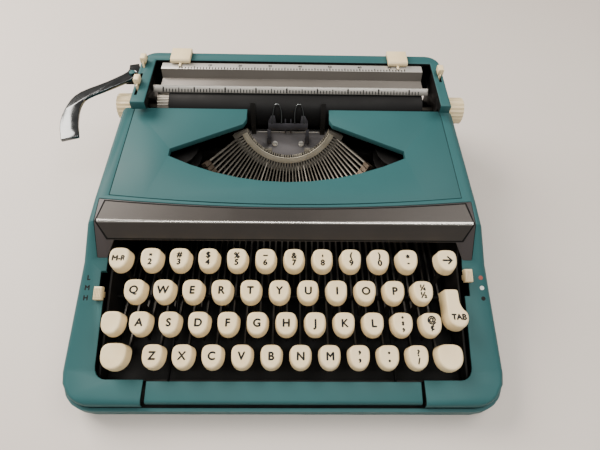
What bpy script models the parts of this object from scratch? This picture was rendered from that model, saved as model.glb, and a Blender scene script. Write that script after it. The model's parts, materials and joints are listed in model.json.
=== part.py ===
"""A portable manual typewriter, modelled piece by piece in metres, +Z up.

The origin is the centre of the base pan's underside. The typist sits at -Y.
"""
import math

import bmesh
import bpy
from mathutils import Matrix, Vector

# Clearances and resolution
GAP = 0.0003
WELD = 0.00005
FLAT_ANGLE = math.radians(0.5)
SHARP_ANGLE = math.radians(30)
OVERRUN = 0.001
ARC_STEPS = 5
ROUND_STEPS = 20

# Keyboard
KEYBOARD_X = -0.001
KEY_PITCH = 0.01905
FRONT_ROW_Y = -0.110
FRONT_ROW_Z = 0.035
ROW_RISE = 0.0084785
CAP_SIDE_GAP = 0.00285
CAP_ROW_GAP = 0.00365
CAP_WIDTH = KEY_PITCH - CAP_SIDE_GAP
CAP_LENGTH = KEY_PITCH - CAP_ROW_GAP
CAP_SIDE_TAPER = 0.002
CAP_END_TAPER = 0.0008
CAP_HEIGHT = 0.0085
CAP_TILT = math.radians(8)
CAP_STEPS = 16
CAP_POWER_SHARE = 0.77
SHIFT_CAP_WIDTH = 0.020
TAB_CAP_WIDTH = 0.015
TAB_CAP_LENGTH = 0.026
TAB_CAP_HEIGHT = 0.0115
SHIFT_PITCHES_SHARE = 5.7
LOCK_PITCHES_SHARE = -5.85
EDGE_PITCHES_SHARE = 5.74
TAB_PITCHES_SHARE = 6.0
TAB_ROW_SHARE = 1.5

# Key levers
LEVER_THICK = 0.0012
LEVER_HEIGHT = 0.005
LEVER_REAR_Y = 0.115
LEVER_REAR_Z = 0.014
LEVER_KNEE_Y = -0.060
LEVER_KNEE_Z = 0.015
LEVER_FRONT_Z = 0.0185
STEM_LENGTH = 0.004
STEM_SINK = 0.002
FORK_HEIGHT = 0.0078
FORK_LENGTH = 0.0055
FULCRUM_RADIUS = 0.0015
SHIFT_LEVER_INSET = 0.004
LOCK_LEVER_INSET = 0.002
SHIFT_ROD_Y = 0.110
SHIFT_ROD_Z = 0.0056
SHIFT_ROD_RADIUS = 0.0012
SHIFT_BEND_Y = 0.060

# Space bar
SPACE_ARM_PITCHES_SHARES = (-4.025, 3.975)
SPACE_END = 0.0123
SPACE_HALF_WIDTH = SPACE_END - KEYBOARD_X - SPACE_ARM_PITCHES_SHARES[0] * KEY_PITCH
SPACE_FRONT_Y = -0.135
SPACE_REAR_Y = -0.122
SPACE_REAR_Z = 0.020
SPACE_DROP = 0.0026
SPACE_FACE = 0.0045
SPACE_THICK = 0.0018
SPACE_ROUND = 0.0022
SPACE_ROD_Y = -0.062
SPACE_ROD_Z = 0.0197
SPACE_ROD_RADIUS = 0.0013
SPACE_ARM_HEIGHT = 0.003
SPACE_ARM_LOW_Z = 0.013
SPACE_ARM_LOW_Y = -0.095

# Base pan and feet
WELL_CLEARANCE = 0.0029
WELL_HALF_WIDTH = TAB_PITCHES_SHARE * KEY_PITCH + TAB_CAP_WIDTH / 2 + WELL_CLEARANCE
RIM_WIDTH = 0.0223
BODY_HALF_WIDTH = WELL_HALF_WIDTH + RIM_WIDTH
PAN_FRONT_Y = -0.139
PAN_REAR_Y = 0.137
PAN_HEIGHT = 0.012
PAN_WALL = 0.0022
PAN_FLOOR = 0.002
PAN_EDGE = 0.003
FRONT_CORNER = 0.022
REAR_CORNER = 0.015
FOOT_RADIUS = 0.008
FOOT_TOP_RADIUS = 0.009
FOOT_HEIGHT = 0.005
FOOT_INSET = 0.024

# Housing shell
HOUSING_FRONT_Y = -0.1365
HOUSING_WALL = 0.003
HOUSING_DRAFT = 0.012
HOUSING_DRAFT_POWER = 1.4
HOUSING_ROUND = 0.006
HOUSING_BELLY_SHARE = 0.55
FRONT_FACE_Z = 0.0165
FRONT_LEDGE_Y = -0.130
FRONT_LEDGE_Z = 0.0197
RAIL_FRONT_Y = -0.116
RAIL_FRONT_Z = 0.021
RAIL_REAR_Y = -0.046
RAIL_REAR_Z = 0.044
CREASE_Y = -0.0267
CREASE_Z = 0.065
DECK_FRONT_Y = -0.008
DECK_Z = 0.067
DECK_REAR_Y = 0.084
BAY_DEPTH = 0.006
REAR_DECK_Z = 0.035
REAR_DECK_ROUND = 0.004
WELL_FRONT_Y = -0.121
WELL_REAR_Y = -0.0345
WELL_CORNER = 0.008
SPACE_GAP = 0.002
WINDOW_INSET = 0.027
WINDOW_HALF_WIDTH = BODY_HALF_WIDTH - WINDOW_INSET
WINDOW_FRONT_Y = 0.094
WINDOW_REAR_Y = 0.1285

# Name panel
PANEL_THICK = 0.0012
PANEL_INSET = 0.0155
PANEL_HALF_WIDTH = BODY_HALF_WIDTH - PANEL_INSET
PANEL_CHAMFER = 0.0125
PANEL_INNER_HALF = PANEL_HALF_WIDTH - PANEL_CHAMFER
PANEL_LOWER_Z = 0.055
PANEL_GUSSET_Z = 0.0455
PANEL_TOP_Y = -0.015
PANEL_TOP_END_Y = -0.009

# Ribbon cover
COVER_INSET = 0.0217
COVER_HALF_WIDTH = BODY_HALF_WIDTH - COVER_INSET
COVER_THICK = 0.0016
COVER_FRONT_Y = -0.0124
COVER_FRONT_END_Y = -0.0055
COVER_LEDGE = 0.004
COVER_HINGE_INSET = 0.001
MOUTH_REAR_HALF = 0.0335
MOUTH_SHOULDER_HALF = 0.036
MOUTH_SHOULDER_Y = 0.0665
MOUTH_REAR_ROUND_Y = 0.072
MOUTH_TIP_HALF = 0.090
MOUTH_TIP_Y = 0.039
MOUTH_TIP_LOW_Y = 0.032
MOUTH_LOW_Y = 0.0075
MOUTH_LIP = 0.0045
MOUTH_LIP_THICK = 0.0016
MOUTH_LIP_REAR_Y = 0.079

# Type basket: the print point, the plane of the segment and its type bars
PRINT_Y = 0.0837
PRINT_Z = 0.0639
BASKET_TILT = math.radians(60)
BAR_COUNT = 42
BAR_FAN = math.radians(63)
BASKET_ROOM = 0.006563
BAR_RADIUS = (PRINT_Z - LEVER_KNEE_Z - LEVER_HEIGHT / 2 - BASKET_ROOM) / math.sin(BASKET_TILT)
BAR_REST = math.radians(55)
BAR_THICK = 0.0008
BAR_ROOT_HALF = 0.002
BAR_TIP_HALF = 0.0013
BAR_TAIL = 0.0032
SLUG_LENGTH = 0.006
SLUG_WIDTH = 0.0031
SLUG_HEIGHT = 0.005
SEGMENT_DEPTH = 0.009
SEGMENT_LAND = 0.004
SEGMENT_INNER = BAR_RADIUS - SEGMENT_DEPTH
SEGMENT_OUTER = BAR_RADIUS + SEGMENT_LAND
SEGMENT_FAN = math.radians(68)
SEGMENT_HALF_THICK = 0.0035
SLOT_WIDTH = 0.0012
SLOT_FLOOR = 0.0023
MOON_LAP = 0.0015
MOON_RADIUS = SEGMENT_INNER + MOON_LAP
MOON_TOP = 0.0165
MOON_THICK = 0.0024
MOON_FRONT = 0.0024
LUG_HALF_SPACING = 0.019
LUG_WIDTH = 0.010
LUG_RISE = 0.006
LUG_REACH = 0.0015
FINGER_X = 0.029
FINGER_WIDTH = 0.004
FINGER_THICK = 0.001
FINGER_ROOT = 0.020
FINGER_BEND = 0.0135
FINGER_RISE = 0.005
FINGER_TIP = 0.0080
FINGER_FRONT = 0.0012
GUIDE_HALF_WIDTH = 0.0235
GUIDE_BOTTOM = 0.014
GUIDE_BAND_TOP = 0.004
GUIDE_TOP = 0.0080
GUIDE_POST = 0.006
GUIDE_THICK = 0.001
GUIDE_FRONT = 0.003
GUIDE_LEG_WIDTH = 0.004
GUIDE_LEG_END = 0.026
GUIDE_FOOT_HEIGHT = 0.005
GUIDE_LEG_X = 0.016

# Chassis
CHASSIS_GAP = 0.001
CHASSIS_HALF_WIDTH = WELL_HALF_WIDTH - CHASSIS_GAP
CHASSIS_WALL = 0.0015
CHASSIS_FRONT_Y = -0.1185
CHASSIS_REAR_Y = 0.1275
CHASSIS_FRONT_TOP = 0.0055
CHASSIS_DROP = 0.0055
CHASSIS_TOP_Z = 0.058
CHASSIS_REAR_TOP_Z = 0.0305
CHASSIS_STEP_Y = 0.078
BEAM_FRONT_Y = 0.070
BEAM_REAR_Y = 0.076
BEAM_LOW_Z = 0.018
BEAM_TOP_Z = 0.030

# Ribbon spools and mainspring drum
SPOOL_INSET = 0.0277
SPOOL_X = CHASSIS_HALF_WIDTH - SPOOL_INSET
SPOOL_Y = 0.0565
SPOOL_RADIUS = 0.024
SPOOL_HUB_RADIUS = 0.018
SPOOL_HEIGHT = 0.014
SPOOL_FLANGE = 0.001
SPOOL_BORE = 0.003
SHELF_Z = 0.036
SHELF_THICK = 0.0015
SHELF_INNER = 0.014
SHELF_HALF_LENGTH = 0.012
DRUM_INSET = 0.0287
DRUM_X = DRUM_INSET - CHASSIS_HALF_WIDTH
DRUM_Y = 0.097
DRUM_RADIUS = 0.0135
DRUM_HEIGHT = 0.009
DRUM_ARM_HALF = 0.007
DRUM_ARM_THICK = 0.0015
DRUM_PIN_RADIUS = 0.0022

# Rim selectors
SELECTOR_INSET = 0.0023
SELECTOR_X = WELL_HALF_WIDTH + SELECTOR_INSET
TOUCH_Y = -0.068
COLOR_Y = -0.055
SELECTOR_TRAVEL = 0.0106
SELECTOR_WIDTH = 0.0055
SELECTOR_LENGTH = 0.009
SELECTOR_RISE = 0.005
SELECTOR_STEM = 0.0016
SELECTOR_STEM_LENGTH = 0.004
SELECTOR_STEM_DROP = 0.007
SELECTOR_SLOT_HALF = 0.0013

# Carriage
CARRIAGE_X = 0.0025
PLATEN_Y = 0.0976
PLATEN_Z = 0.056
PLATEN_RADIUS = 0.016
PLATEN_CLEARANCE = 0.0012
PLATEN_LEFT_INSET = 0.020
PLATEN_RIGHT_INSET = 0.012
COLLAR_WIDTH = 0.0095
COLLAR_RADIUS = 0.0152
SHAFT_RADIUS = 0.003
KNOB_STANDOFF = 0.0015
KNOB_LENGTH = 0.017
KNOB_RADIUS = 0.011
KNOB_RIBS = 20
KNOB_RIB_DEPTH = 0.0008
KNOB_SEAT = 0.010
END_PLATE_INSET = 0.0065
END_PLATE_THICK = 0.002
END_PLATE_FRONT_Y = 0.0862
END_PLATE_REAR_Y = 0.126
END_PLATE_SHOULDER_Z = 0.070
TROUGH_RADIUS = 0.0175
TROUGH_THICK = 0.0015
TROUGH_FRONT = math.radians(226)
TROUGH_REAR = math.radians(323)
CHANNEL_FRONT_Y = 0.1105
CHANNEL_REAR_Y = 0.125
CHANNEL_LOW_Z = 0.0366
CHANNEL_TOP_Z = 0.044
RAIL_BAR_Y = 0.119
RAIL_BAR_HALF = 0.003
RAIL_BAR_LOW_Z = 0.032
RAIL_BAR_TOP_Z = 0.0405
RAIL_END_GAP = 0.0015
RAIL_HALF_LENGTH = WINDOW_HALF_WIDTH - RAIL_END_GAP
RAIL_LUG_WIDTH = 0.012
RAIL_LUG_SHARES = (-0.85, 0.0, 0.85)
RAIL_LUG_LOW_Z = 0.018

# Carriage shroud
SHROUD_HALF_WIDTH = 0.1275
END_PLATE_IN = SHROUD_HALF_WIDTH - END_PLATE_INSET
KNOB_IN = SHROUD_HALF_WIDTH + KNOB_STANDOFF
PLATEN_LEFT = PLATEN_LEFT_INSET - END_PLATE_IN
PLATEN_RIGHT = END_PLATE_IN - PLATEN_RIGHT_INSET
SHROUD_TOP_Z = 0.080
SHROUD_SKIN = 0.0022
SHROUD_LEFT_ARM = 0.012
SHROUD_RIGHT_ARM = 0.0085
SHROUD_FRONT_Y = 0.076
SHROUD_NOSE_Z = 0.0727
SHROUD_NOSE_Y = 0.088
SHROUD_SKIRT_Z = 0.045
SHROUD_REAR_Y = 0.1395
SHROUD_BAR_Y = 0.129
SHROUD_REAR_LOW_Z = 0.038
SHROUD_CORNER = 0.012
SHROUD_EDGE = 0.0012

# Paper table, bail and margin stops
TABLE_LEFT_INSET = 0.0115
TABLE_RIGHT_INSET = 0.010
TABLE_LEFT = TABLE_LEFT_INSET - END_PLATE_IN
TABLE_RIGHT = END_PLATE_IN - TABLE_RIGHT_INSET
TABLE_THICK = 0.0012
TABLE_FRONT_Y = 0.106
TABLE_FRONT_Z = 0.072
TABLE_STEP_Y = 0.1156
TABLE_SCALE_Y = 0.118
TABLE_SCALE_Z = 0.0795
TABLE_SCALE_REAR_Y = 0.1258
TABLE_TAIL_Y = 0.131
BAIL_INSET = 0.0075
BAIL_HALF_WIDTH = END_PLATE_IN - BAIL_INSET
BAIL_FRONT_Y = 0.096
BAIL_FRONT_Z = 0.0733
BAIL_REAR_Y = 0.1005
BAIL_REAR_Z = 0.0769
BAIL_THICK = 0.001
BAIL_ARM_THICK = 0.0015
BAIL_ARM_WIDTH = 0.005
BAIL_PIVOT_Y = 0.118
BAIL_PIVOT_Z = 0.058
PIN_RADIUS = 0.0015
STOP_LEFT_X = -0.094
STOP_RIGHT_X = 0.0903
STOP_WIDTH = 0.0165
STOP_FRONT_Y = 0.124
STOP_TOP_Z = 0.084
STOP_LIP = 0.0016
STOP_LIP_Z = 0.074
STOP_EDGE = 0.0015
STOP_TAB_LENGTH = 0.004
STOP_TAB_WIDTH = 0.002
STOP_TAB_THICK = 0.0008

# Carriage levers
LEVER_STRIP_THICK = 0.0014
LEVER_STRIP_WIDTH = 0.006
BUTTON_WIDTH = 0.0046
BUTTON_LENGTH = 0.007
BUTTON_HEIGHT = 0.005
BUTTON_EDGE = 0.0008
BUTTON_LIFT = 0.0022
RELEASE_Y = 0.1246
RELEASE_PIVOT_Z = 0.058
PAPER_RELEASE_Y = 0.115
SPACE_SWING = math.radians(15)
RELEASE_SWING = math.radians(9)
PAPER_SWING = math.radians(12)
RETURN_PIVOT_X = -0.1345
RETURN_PIVOT_Y = 0.117
RETURN_Z = 0.0725
RETURN_THICK = 0.0028
RETURN_PIN_RADIUS = 0.0025
RETURN_EAR_THICK = 0.004
RETURN_EAR_HALF = 0.006
RETURN_REACH = 0.0378
RETURN_RUN = 0.076
RETURN_WIDTH = 0.010
RETURN_BLADE_WIDTH = 0.0142
RETURN_PATH_SHARES = ((0.02, -0.16), (0.0, 0.0), (0.42, 0.19), (0.88, 0.36), (1.0, 0.52),
                      (0.97, 0.76), (0.82, 1.0))
RETURN_WIDTH_SHARES = (0.8, 1.0, 0.9, 0.95, 1.1, 1.35, 1.3)
RETURN_PATH_STEPS = 3


# Tools for making and joining shapes

def fresh_collection(name):
    group = bpy.data.collections.new(name)
    bpy.context.scene.collection.children.link(group)
    return group


def finish_material(name, color, rough, metal):
    surface = bpy.data.materials.new(name)
    surface.use_nodes = True
    shader = surface.node_tree.nodes["Principled BSDF"]
    shader.inputs["Base Color"].default_value = (*color, 1.0)
    shader.inputs["Roughness"].default_value = rough
    shader.inputs["Metallic"].default_value = metal
    return surface


def scratch(mesh, matrix=None):
    """Keep a mesh as a hidden tool until it is joined or cut."""
    tool = bpy.data.objects.new("tool", mesh)
    tool.hide_render = True
    tool.display_type = "WIRE"
    tools.objects.link(tool)
    if matrix is not None:
        mesh.transform(matrix)
    return tool


def from_bmesh(form, matrix=None):
    mesh = bpy.data.meshes.new("form")
    bmesh.ops.recalc_face_normals(form, faces=form.faces)
    form.to_mesh(mesh)
    form.free()
    return scratch(mesh, matrix)


def plate(outlines, low, high, matrix=None):
    """A flat outline, with any holes, raised from low to high along its own Z."""
    curve = bpy.data.curves.new("outline", "CURVE")
    curve.dimensions = "2D"
    curve.fill_mode = "BOTH"
    curve.extrude = (high - low) / 2
    for outline in outlines:
        spline = curve.splines.new("POLY")
        spline.points.add(len(outline) - 1)
        for point, place in zip(spline.points, outline):
            point.co = (place[0], place[1], 0.0, 1.0)
        spline.use_cyclic_u = True
    holder = bpy.data.objects.new("outline", curve)
    tools.objects.link(holder)
    bpy.context.view_layer.update()
    seen = holder.evaluated_get(bpy.context.evaluated_depsgraph_get())
    mesh = bpy.data.meshes.new_from_object(seen)
    bpy.data.objects.remove(holder)
    form = bmesh.new()
    form.from_mesh(mesh)
    bmesh.ops.remove_doubles(form, verts=form.verts, dist=WELD)
    bmesh.ops.translate(form, verts=form.verts, vec=(0, 0, (low + high) / 2))
    return from_bmesh(form, matrix)


def across(outlines, left, right):
    """A side outline in (y, z), running from left to right along X."""
    turn = Matrix(((0, 0, 1, 0), (1, 0, 0, 0), (0, 1, 0, 0), (0, 0, 0, 1)))
    return plate(outlines, left, right, turn)


def box(low, high):
    form = bmesh.new()
    bmesh.ops.create_cube(form, size=1)
    size = [top - base for base, top in zip(low, high)]
    middle = [(top + base) / 2 for base, top in zip(low, high)]
    return from_bmesh(form, Matrix.Translation(middle) @ Matrix.Diagonal((*size, 1)))


def rod(radius, start, end, steps=ROUND_STEPS):
    form = bmesh.new()
    span = Vector(end) - Vector(start)
    bmesh.ops.create_cone(form, cap_ends=True, segments=steps, radius1=radius, radius2=radius,
                          depth=span.length)
    turn = Vector((0, 0, 1)).rotation_difference(span).to_matrix().to_4x4()
    middle = (Vector(start) + Vector(end)) / 2
    return from_bmesh(form, Matrix.Translation(middle) @ turn)


def settle(piece):
    """Replace an object's mesh by what its modifiers show."""
    bpy.context.view_layer.update()
    seen = piece.evaluated_get(bpy.context.evaluated_depsgraph_get())
    mesh = bpy.data.meshes.new_from_object(seen)
    piece.modifiers.clear()
    piece.data = mesh
    return piece


def turned(profile, steps=ROUND_STEPS, matrix=None):
    """Turn a profile of (radius, z), top to bottom down the outer side, about Z."""
    mesh = bpy.data.meshes.new("profile")
    points = [(radius, 0, height) for radius, height in profile]
    edges = [(index, (index + 1) % len(points)) for index in range(len(points))]
    if profile[0][0] == 0:
        edges.pop()
    mesh.from_pydata(points, edges, [])
    piece = scratch(mesh)
    screw = piece.modifiers.new("Turn", "SCREW")
    screw.axis = "Z"
    screw.steps = steps
    screw.render_steps = steps
    screw.use_merge_vertices = True
    screw.merge_threshold = WELD
    settle(piece)
    form = bmesh.new()
    form.from_mesh(piece.data)
    bpy.data.objects.remove(piece)
    bmesh.ops.remove_doubles(form, verts=form.verts, dist=WELD)
    return from_bmesh(form, matrix)


def combine(base, others, operation):
    for other in others:
        change = base.modifiers.new("Shape", "BOOLEAN")
        change.operation = operation
        change.solver = "EXACT"
        change.object = other
        settle(base)
        bpy.data.objects.remove(other)
    return base


def join(pieces):
    return combine(pieces[0], pieces[1:], "UNION")


def cut(base, *others):
    return combine(base, others, "DIFFERENCE")


def gather(pieces):
    """Put separate solids in one object without joining them."""
    form = bmesh.new()
    for piece in pieces:
        form.from_mesh(piece.data)
        bpy.data.objects.remove(piece)
    mesh = bpy.data.meshes.new("set")
    form.to_mesh(mesh)
    form.free()
    return scratch(mesh)


def copy_of(piece, matrix):
    mesh = piece.data.copy()
    mesh.transform(matrix)
    if matrix.determinant() < 0:
        mesh.flip_normals()
    return scratch(mesh)


def soften(piece, width, segments, chosen):
    """Round the sharp edges whose two ends both pass the test."""
    form = bmesh.new()
    form.from_mesh(piece.data)
    bmesh.ops.dissolve_limit(form, angle_limit=FLAT_ANGLE, verts=form.verts, edges=form.edges)
    edges = [edge for edge in form.edges
             if len(edge.link_faces) == 2 and edge.calc_face_angle(0) > SHARP_ANGLE
             and all(chosen(vert.co) for vert in edge.verts)]
    bmesh.ops.bevel(form, geom=edges, offset=width, segments=segments, profile=0.5,
                    affect="EDGES", clamp_overlap=True)
    bmesh.ops.remove_doubles(form, verts=form.verts, dist=WELD)
    form.to_mesh(piece.data)
    form.free()
    return piece


def publish(name, piece, surface, pivot=(0, 0, 0), parent=None):
    """Name a piece, give it its finish and put its origin on its joint."""
    mesh = piece.data
    mesh.name = name
    mesh.materials.clear()
    mesh.materials.append(surface)
    mesh.transform(Matrix.Translation(-Vector(pivot)))
    mesh.shade_smooth()
    mesh.set_sharp_from_angle(angle=SHARP_ANGLE)
    bpy.data.objects.remove(piece)
    thing = bpy.data.objects.new(name, mesh)
    machine.objects.link(thing)
    thing.location = Vector(pivot)
    if parent is not None:
        thing.parent = parent
        thing.location = Vector(pivot) - parent.location
    return thing


def arc(center, radius, start, end, steps=ARC_STEPS):
    points = []
    for step in range(steps + 1):
        angle = start + (end - start) * step / steps
        points.append((center[0] + radius * math.cos(angle), center[1] + radius * math.sin(angle)))
    return points


def rounded_outline(left, right, front, rear, front_round, rear_round):
    quarter = math.pi / 2
    return (arc((right - front_round, front + front_round), front_round, -quarter, 0)
            + arc((right - rear_round, rear - rear_round), rear_round, 0, quarter)
            + arc((left + rear_round, rear - rear_round), rear_round, quarter, 2 * quarter)
            + arc((left + front_round, front + front_round), front_round, 2 * quarter, 3 * quarter))


def beside(path, offset):
    """The path moved sideways by an offset, or by one offset for each point."""
    offsets = offset if isinstance(offset, (list, tuple)) else [offset] * len(path)
    moved = []
    for index, point in enumerate(path):
        before = Vector(path[max(index - 1, 0)])
        after = Vector(path[min(index + 1, len(path) - 1)])
        here = Vector(point)
        sides = []
        for start, end in ((before, here), (here, after)):
            if (end - start).length > WELD / 10:
                along = (end - start).normalized()
                sides.append(Vector((-along.y, along.x)))
        middle = sum(sides, Vector((0, 0))).normalized()
        stretch = 1 / max(middle.dot(sides[0]), 0.5)
        moved.append(tuple(here + middle * offsets[index] * stretch))
    return moved


def strip(path, thick):
    """A sheet of even thickness along a path, to the right of its run."""
    return list(path) + list(reversed(beside(path, -thick)))


def smooth_path(points, steps):
    """A smooth curve through the given points."""
    ends = [points[0]] + list(points) + [points[-1]]
    path = []
    for index in range(1, len(ends) - 2):
        before, start, end, after = (Vector(ends[index + shift]) for shift in (-1, 0, 1, 2))
        for step in range(steps):
            share = step / steps
            bend = (2 * start + (end - before) * share
                    + (2 * before - 5 * start + 4 * end - after) * share ** 2
                    + (3 * start - before - 3 * end + after) * share ** 3) / 2
            path.append(tuple(bend))
    path.append(tuple(points[-1]))
    return path


def loft(sections):
    """A closed skin over sections that all have the same number of points."""
    form = bmesh.new()
    rings = [[form.verts.new(point) for point in section] for section in sections]
    count = len(rings[0])
    for ring, following in zip(rings, rings[1:]):
        for index in range(count):
            after = (index + 1) % count
            form.faces.new((ring[index], ring[after], following[after], following[index]))
    form.faces.new(rings[0])
    form.faces.new(rings[-1])
    return from_bmesh(form)


# The shell's own form: how high and how wide it is at each place along Y

def blend(place, start, end, low, high):
    return low + (high - low) * (place - start) / (end - start)


def profile_height(y, rear_edge=DECK_REAR_Y):
    if y <= FRONT_LEDGE_Y:
        share = max(0.0, (FRONT_LEDGE_Y - y) / (FRONT_LEDGE_Y - HOUSING_FRONT_Y))
        return FRONT_FACE_Z + (FRONT_LEDGE_Z - FRONT_FACE_Z) * math.sqrt(max(0.0, 1 - share ** 2))
    marks = ((FRONT_LEDGE_Y, FRONT_LEDGE_Z), (RAIL_FRONT_Y, RAIL_FRONT_Z),
             (RAIL_REAR_Y, RAIL_REAR_Z), (CREASE_Y, CREASE_Z), (DECK_FRONT_Y, DECK_Z),
             (rear_edge, DECK_Z))
    for start, end in zip(marks, marks[1:]):
        if y <= end[0]:
            return blend(y, start[0], end[0], start[1], end[1])
    drop = max(0.0, (y - (PAN_REAR_Y - REAR_DECK_ROUND)) / REAR_DECK_ROUND)
    return REAR_DECK_Z - REAR_DECK_ROUND * (1 - math.sqrt(max(0.0, 1 - min(drop, 1.0) ** 2)))


def corner_loss(y):
    """How much the plan's rounded corners take off the half width."""
    front = HOUSING_FRONT_Y + FRONT_CORNER - y
    rear = y - (PAN_REAR_Y - REAR_CORNER)
    if front > 0:
        return FRONT_CORNER - math.sqrt(max(0.0, FRONT_CORNER ** 2 - front ** 2))
    if rear > 0:
        return REAR_CORNER - math.sqrt(max(0.0, REAR_CORNER ** 2 - rear ** 2))
    return 0.0


def side_width(z):
    share = max(0.0, (z - PAN_HEIGHT) / (DECK_Z - PAN_HEIGHT))
    return BODY_HALF_WIDTH - HOUSING_DRAFT * share ** HOUSING_DRAFT_POWER


def shell_section(y, wall, rear_edge, low):
    top = profile_height(y, rear_edge) - wall
    turn = min(HOUSING_ROUND, (top - low) / 2)
    loss = corner_loss(y) + wall
    shoulder = top - turn
    belly = low + (shoulder - low) * HOUSING_BELLY_SHARE
    side = [(side_width(low) - loss, low), (side_width(belly) - loss, belly)]
    middle = side_width(shoulder) - loss - turn
    side += arc((middle, shoulder), turn, 0, math.pi / 2, ARC_STEPS - 1)
    return [(x, y, z) for x, z in side] + [(-x, y, z) for x, z in reversed(side)]


def shell_body(wall, rear_edge, low):
    front = HOUSING_FRONT_Y + wall
    rear = PAN_REAR_Y - wall
    corner_start = HOUSING_FRONT_Y + FRONT_CORNER
    rear_start = PAN_REAR_Y - REAR_CORNER
    stations = [front]
    stations += [blend(math.cos(step), 1, 0, front, FRONT_LEDGE_Y)
                 for step in (math.pi * share / 2 / ARC_STEPS for share in range(1, ARC_STEPS))]
    stations += [FRONT_LEDGE_Y, (FRONT_LEDGE_Y + RAIL_FRONT_Y) / 2, RAIL_FRONT_Y, corner_start,
                 RAIL_REAR_Y, CREASE_Y, DECK_FRONT_Y, rear_edge, rear_edge + GAP, rear_start]
    stations += [blend(step, 0, ARC_STEPS, rear_start, rear) for step in range(1, ARC_STEPS)]
    stations += [rear]
    sections = [shell_section(y, wall, rear_edge, low) for y in sorted(set(stations))]
    return loft(sections)


# Keyboard

def lever_middle(y):
    if y > LEVER_KNEE_Y:
        return blend(y, LEVER_REAR_Y, LEVER_KNEE_Y, LEVER_REAR_Z, LEVER_KNEE_Z)
    return blend(y, LEVER_KNEE_Y, FRONT_ROW_Y, LEVER_KNEE_Z, LEVER_FRONT_Z)


def key_lever(x, y, top, forked):
    """A flat lever on the fulcrum rod, with its stem rising to a cap."""
    half = LEVER_HEIGHT / 2
    fork = FORK_HEIGHT / 2
    slot = FULCRUM_RADIUS + GAP
    rear = LEVER_REAR_Y + slot
    neck = LEVER_REAR_Y - slot - FORK_LENGTH
    near, far = y - STEM_LENGTH / 2, y + STEM_LENGTH / 2
    knee = [(LEVER_KNEE_Y, LEVER_KNEE_Z)] if far < LEVER_KNEE_Y else []
    outline = [(rear, LEVER_REAR_Z + fork), (neck + half, LEVER_REAR_Z + fork),
               (neck, lever_middle(neck) + half)]
    outline += [(place, height + half) for place, height in knee]
    outline += [(far, lever_middle(far) + half), (far, top), (near, top),
                (near, lever_middle(near) - half)]
    outline += [(place, height - half) for place, height in knee]
    outline += [(neck, lever_middle(neck) - half), (neck + half, LEVER_REAR_Z - fork),
                (rear, LEVER_REAR_Z - fork)]
    if forked:
        outline += [(rear, LEVER_REAR_Z - slot), (LEVER_REAR_Y - slot, LEVER_REAR_Z - slot),
                    (LEVER_REAR_Y - slot, LEVER_REAR_Z + slot), (rear, LEVER_REAR_Z + slot)]
    return across([outline], x - LEVER_THICK / 2, x + LEVER_THICK / 2)


def key_cap(x, y, z, width, length, height):
    """A tapered cap with a squarish round outline, tilted to the typist."""
    form = bmesh.new()
    bmesh.ops.create_circle(form, cap_ends=True, segments=CAP_STEPS, radius=1)
    base = form.faces[:]
    grown = bmesh.ops.extrude_face_region(form, geom=base)
    upper = {item for item in grown["geom"] if isinstance(item, bmesh.types.BMVert)}
    for vert in form.verts:
        sizes = (width, length)
        if vert in upper:
            sizes = (width - CAP_SIDE_TAPER, length - CAP_END_TAPER)
        place = [math.copysign(abs(part) ** CAP_POWER_SHARE, part) * size / 2
                 for part, size in zip(vert.co[:2], sizes)]
        vert.co = (*place, 0 if vert in upper else -height)
    return from_bmesh(form, Matrix.Translation((x, y, z)) @ Matrix.Rotation(CAP_TILT, 4, "X"))


def row_place(row):
    return FRONT_ROW_Y + row * KEY_PITCH, FRONT_ROW_Z + row * ROW_RISE


def make_key(pitches, row, width=CAP_WIDTH, length=CAP_LENGTH, height=CAP_HEIGHT, forked=True):
    y, z = row_place(row)
    x = KEYBOARD_X + pitches * KEY_PITCH
    lever = key_lever(x, y, z - height + STEM_SINK, forked)
    return join([key_cap(x, y, z, width, length, height), lever])


def make_figure_keys():
    """The keys that are fixed on the fulcrum rod, which turns with them."""
    ends = CHASSIS_HALF_WIDTH - CHASSIS_WALL - GAP
    axle = rod(FULCRUM_RADIUS, (-ends, LEVER_REAR_Y, LEVER_REAR_Z),
               (ends, LEVER_REAR_Y, LEVER_REAR_Z), ROUND_STEPS // 2)
    return join([axle] + [make_key(place, row, forked=False) for place, row in FIGURE_SHARES])


def shift_arm(x, y, top):
    half = LEVER_HEIGHT / 2
    near, far = y - STEM_LENGTH / 2, y + STEM_LENGTH / 2
    path = [(SHIFT_ROD_Y, SHIFT_ROD_Z), (SHIFT_BEND_Y, lever_middle(SHIFT_BEND_Y)),
            (LEVER_KNEE_Y, LEVER_KNEE_Z), (far, lever_middle(far))]
    outline = [(place, height + half) for place, height in path] + [(far, top), (near, top)]
    outline += [(near, lever_middle(near) - half)]
    outline += [(place, height - half) for place, height in reversed(path[1:-1])]
    outline += [(SHIFT_ROD_Y, SHIFT_ROD_Z - half)]
    return across([outline], x - LEVER_THICK / 2, x + LEVER_THICK / 2)


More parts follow.
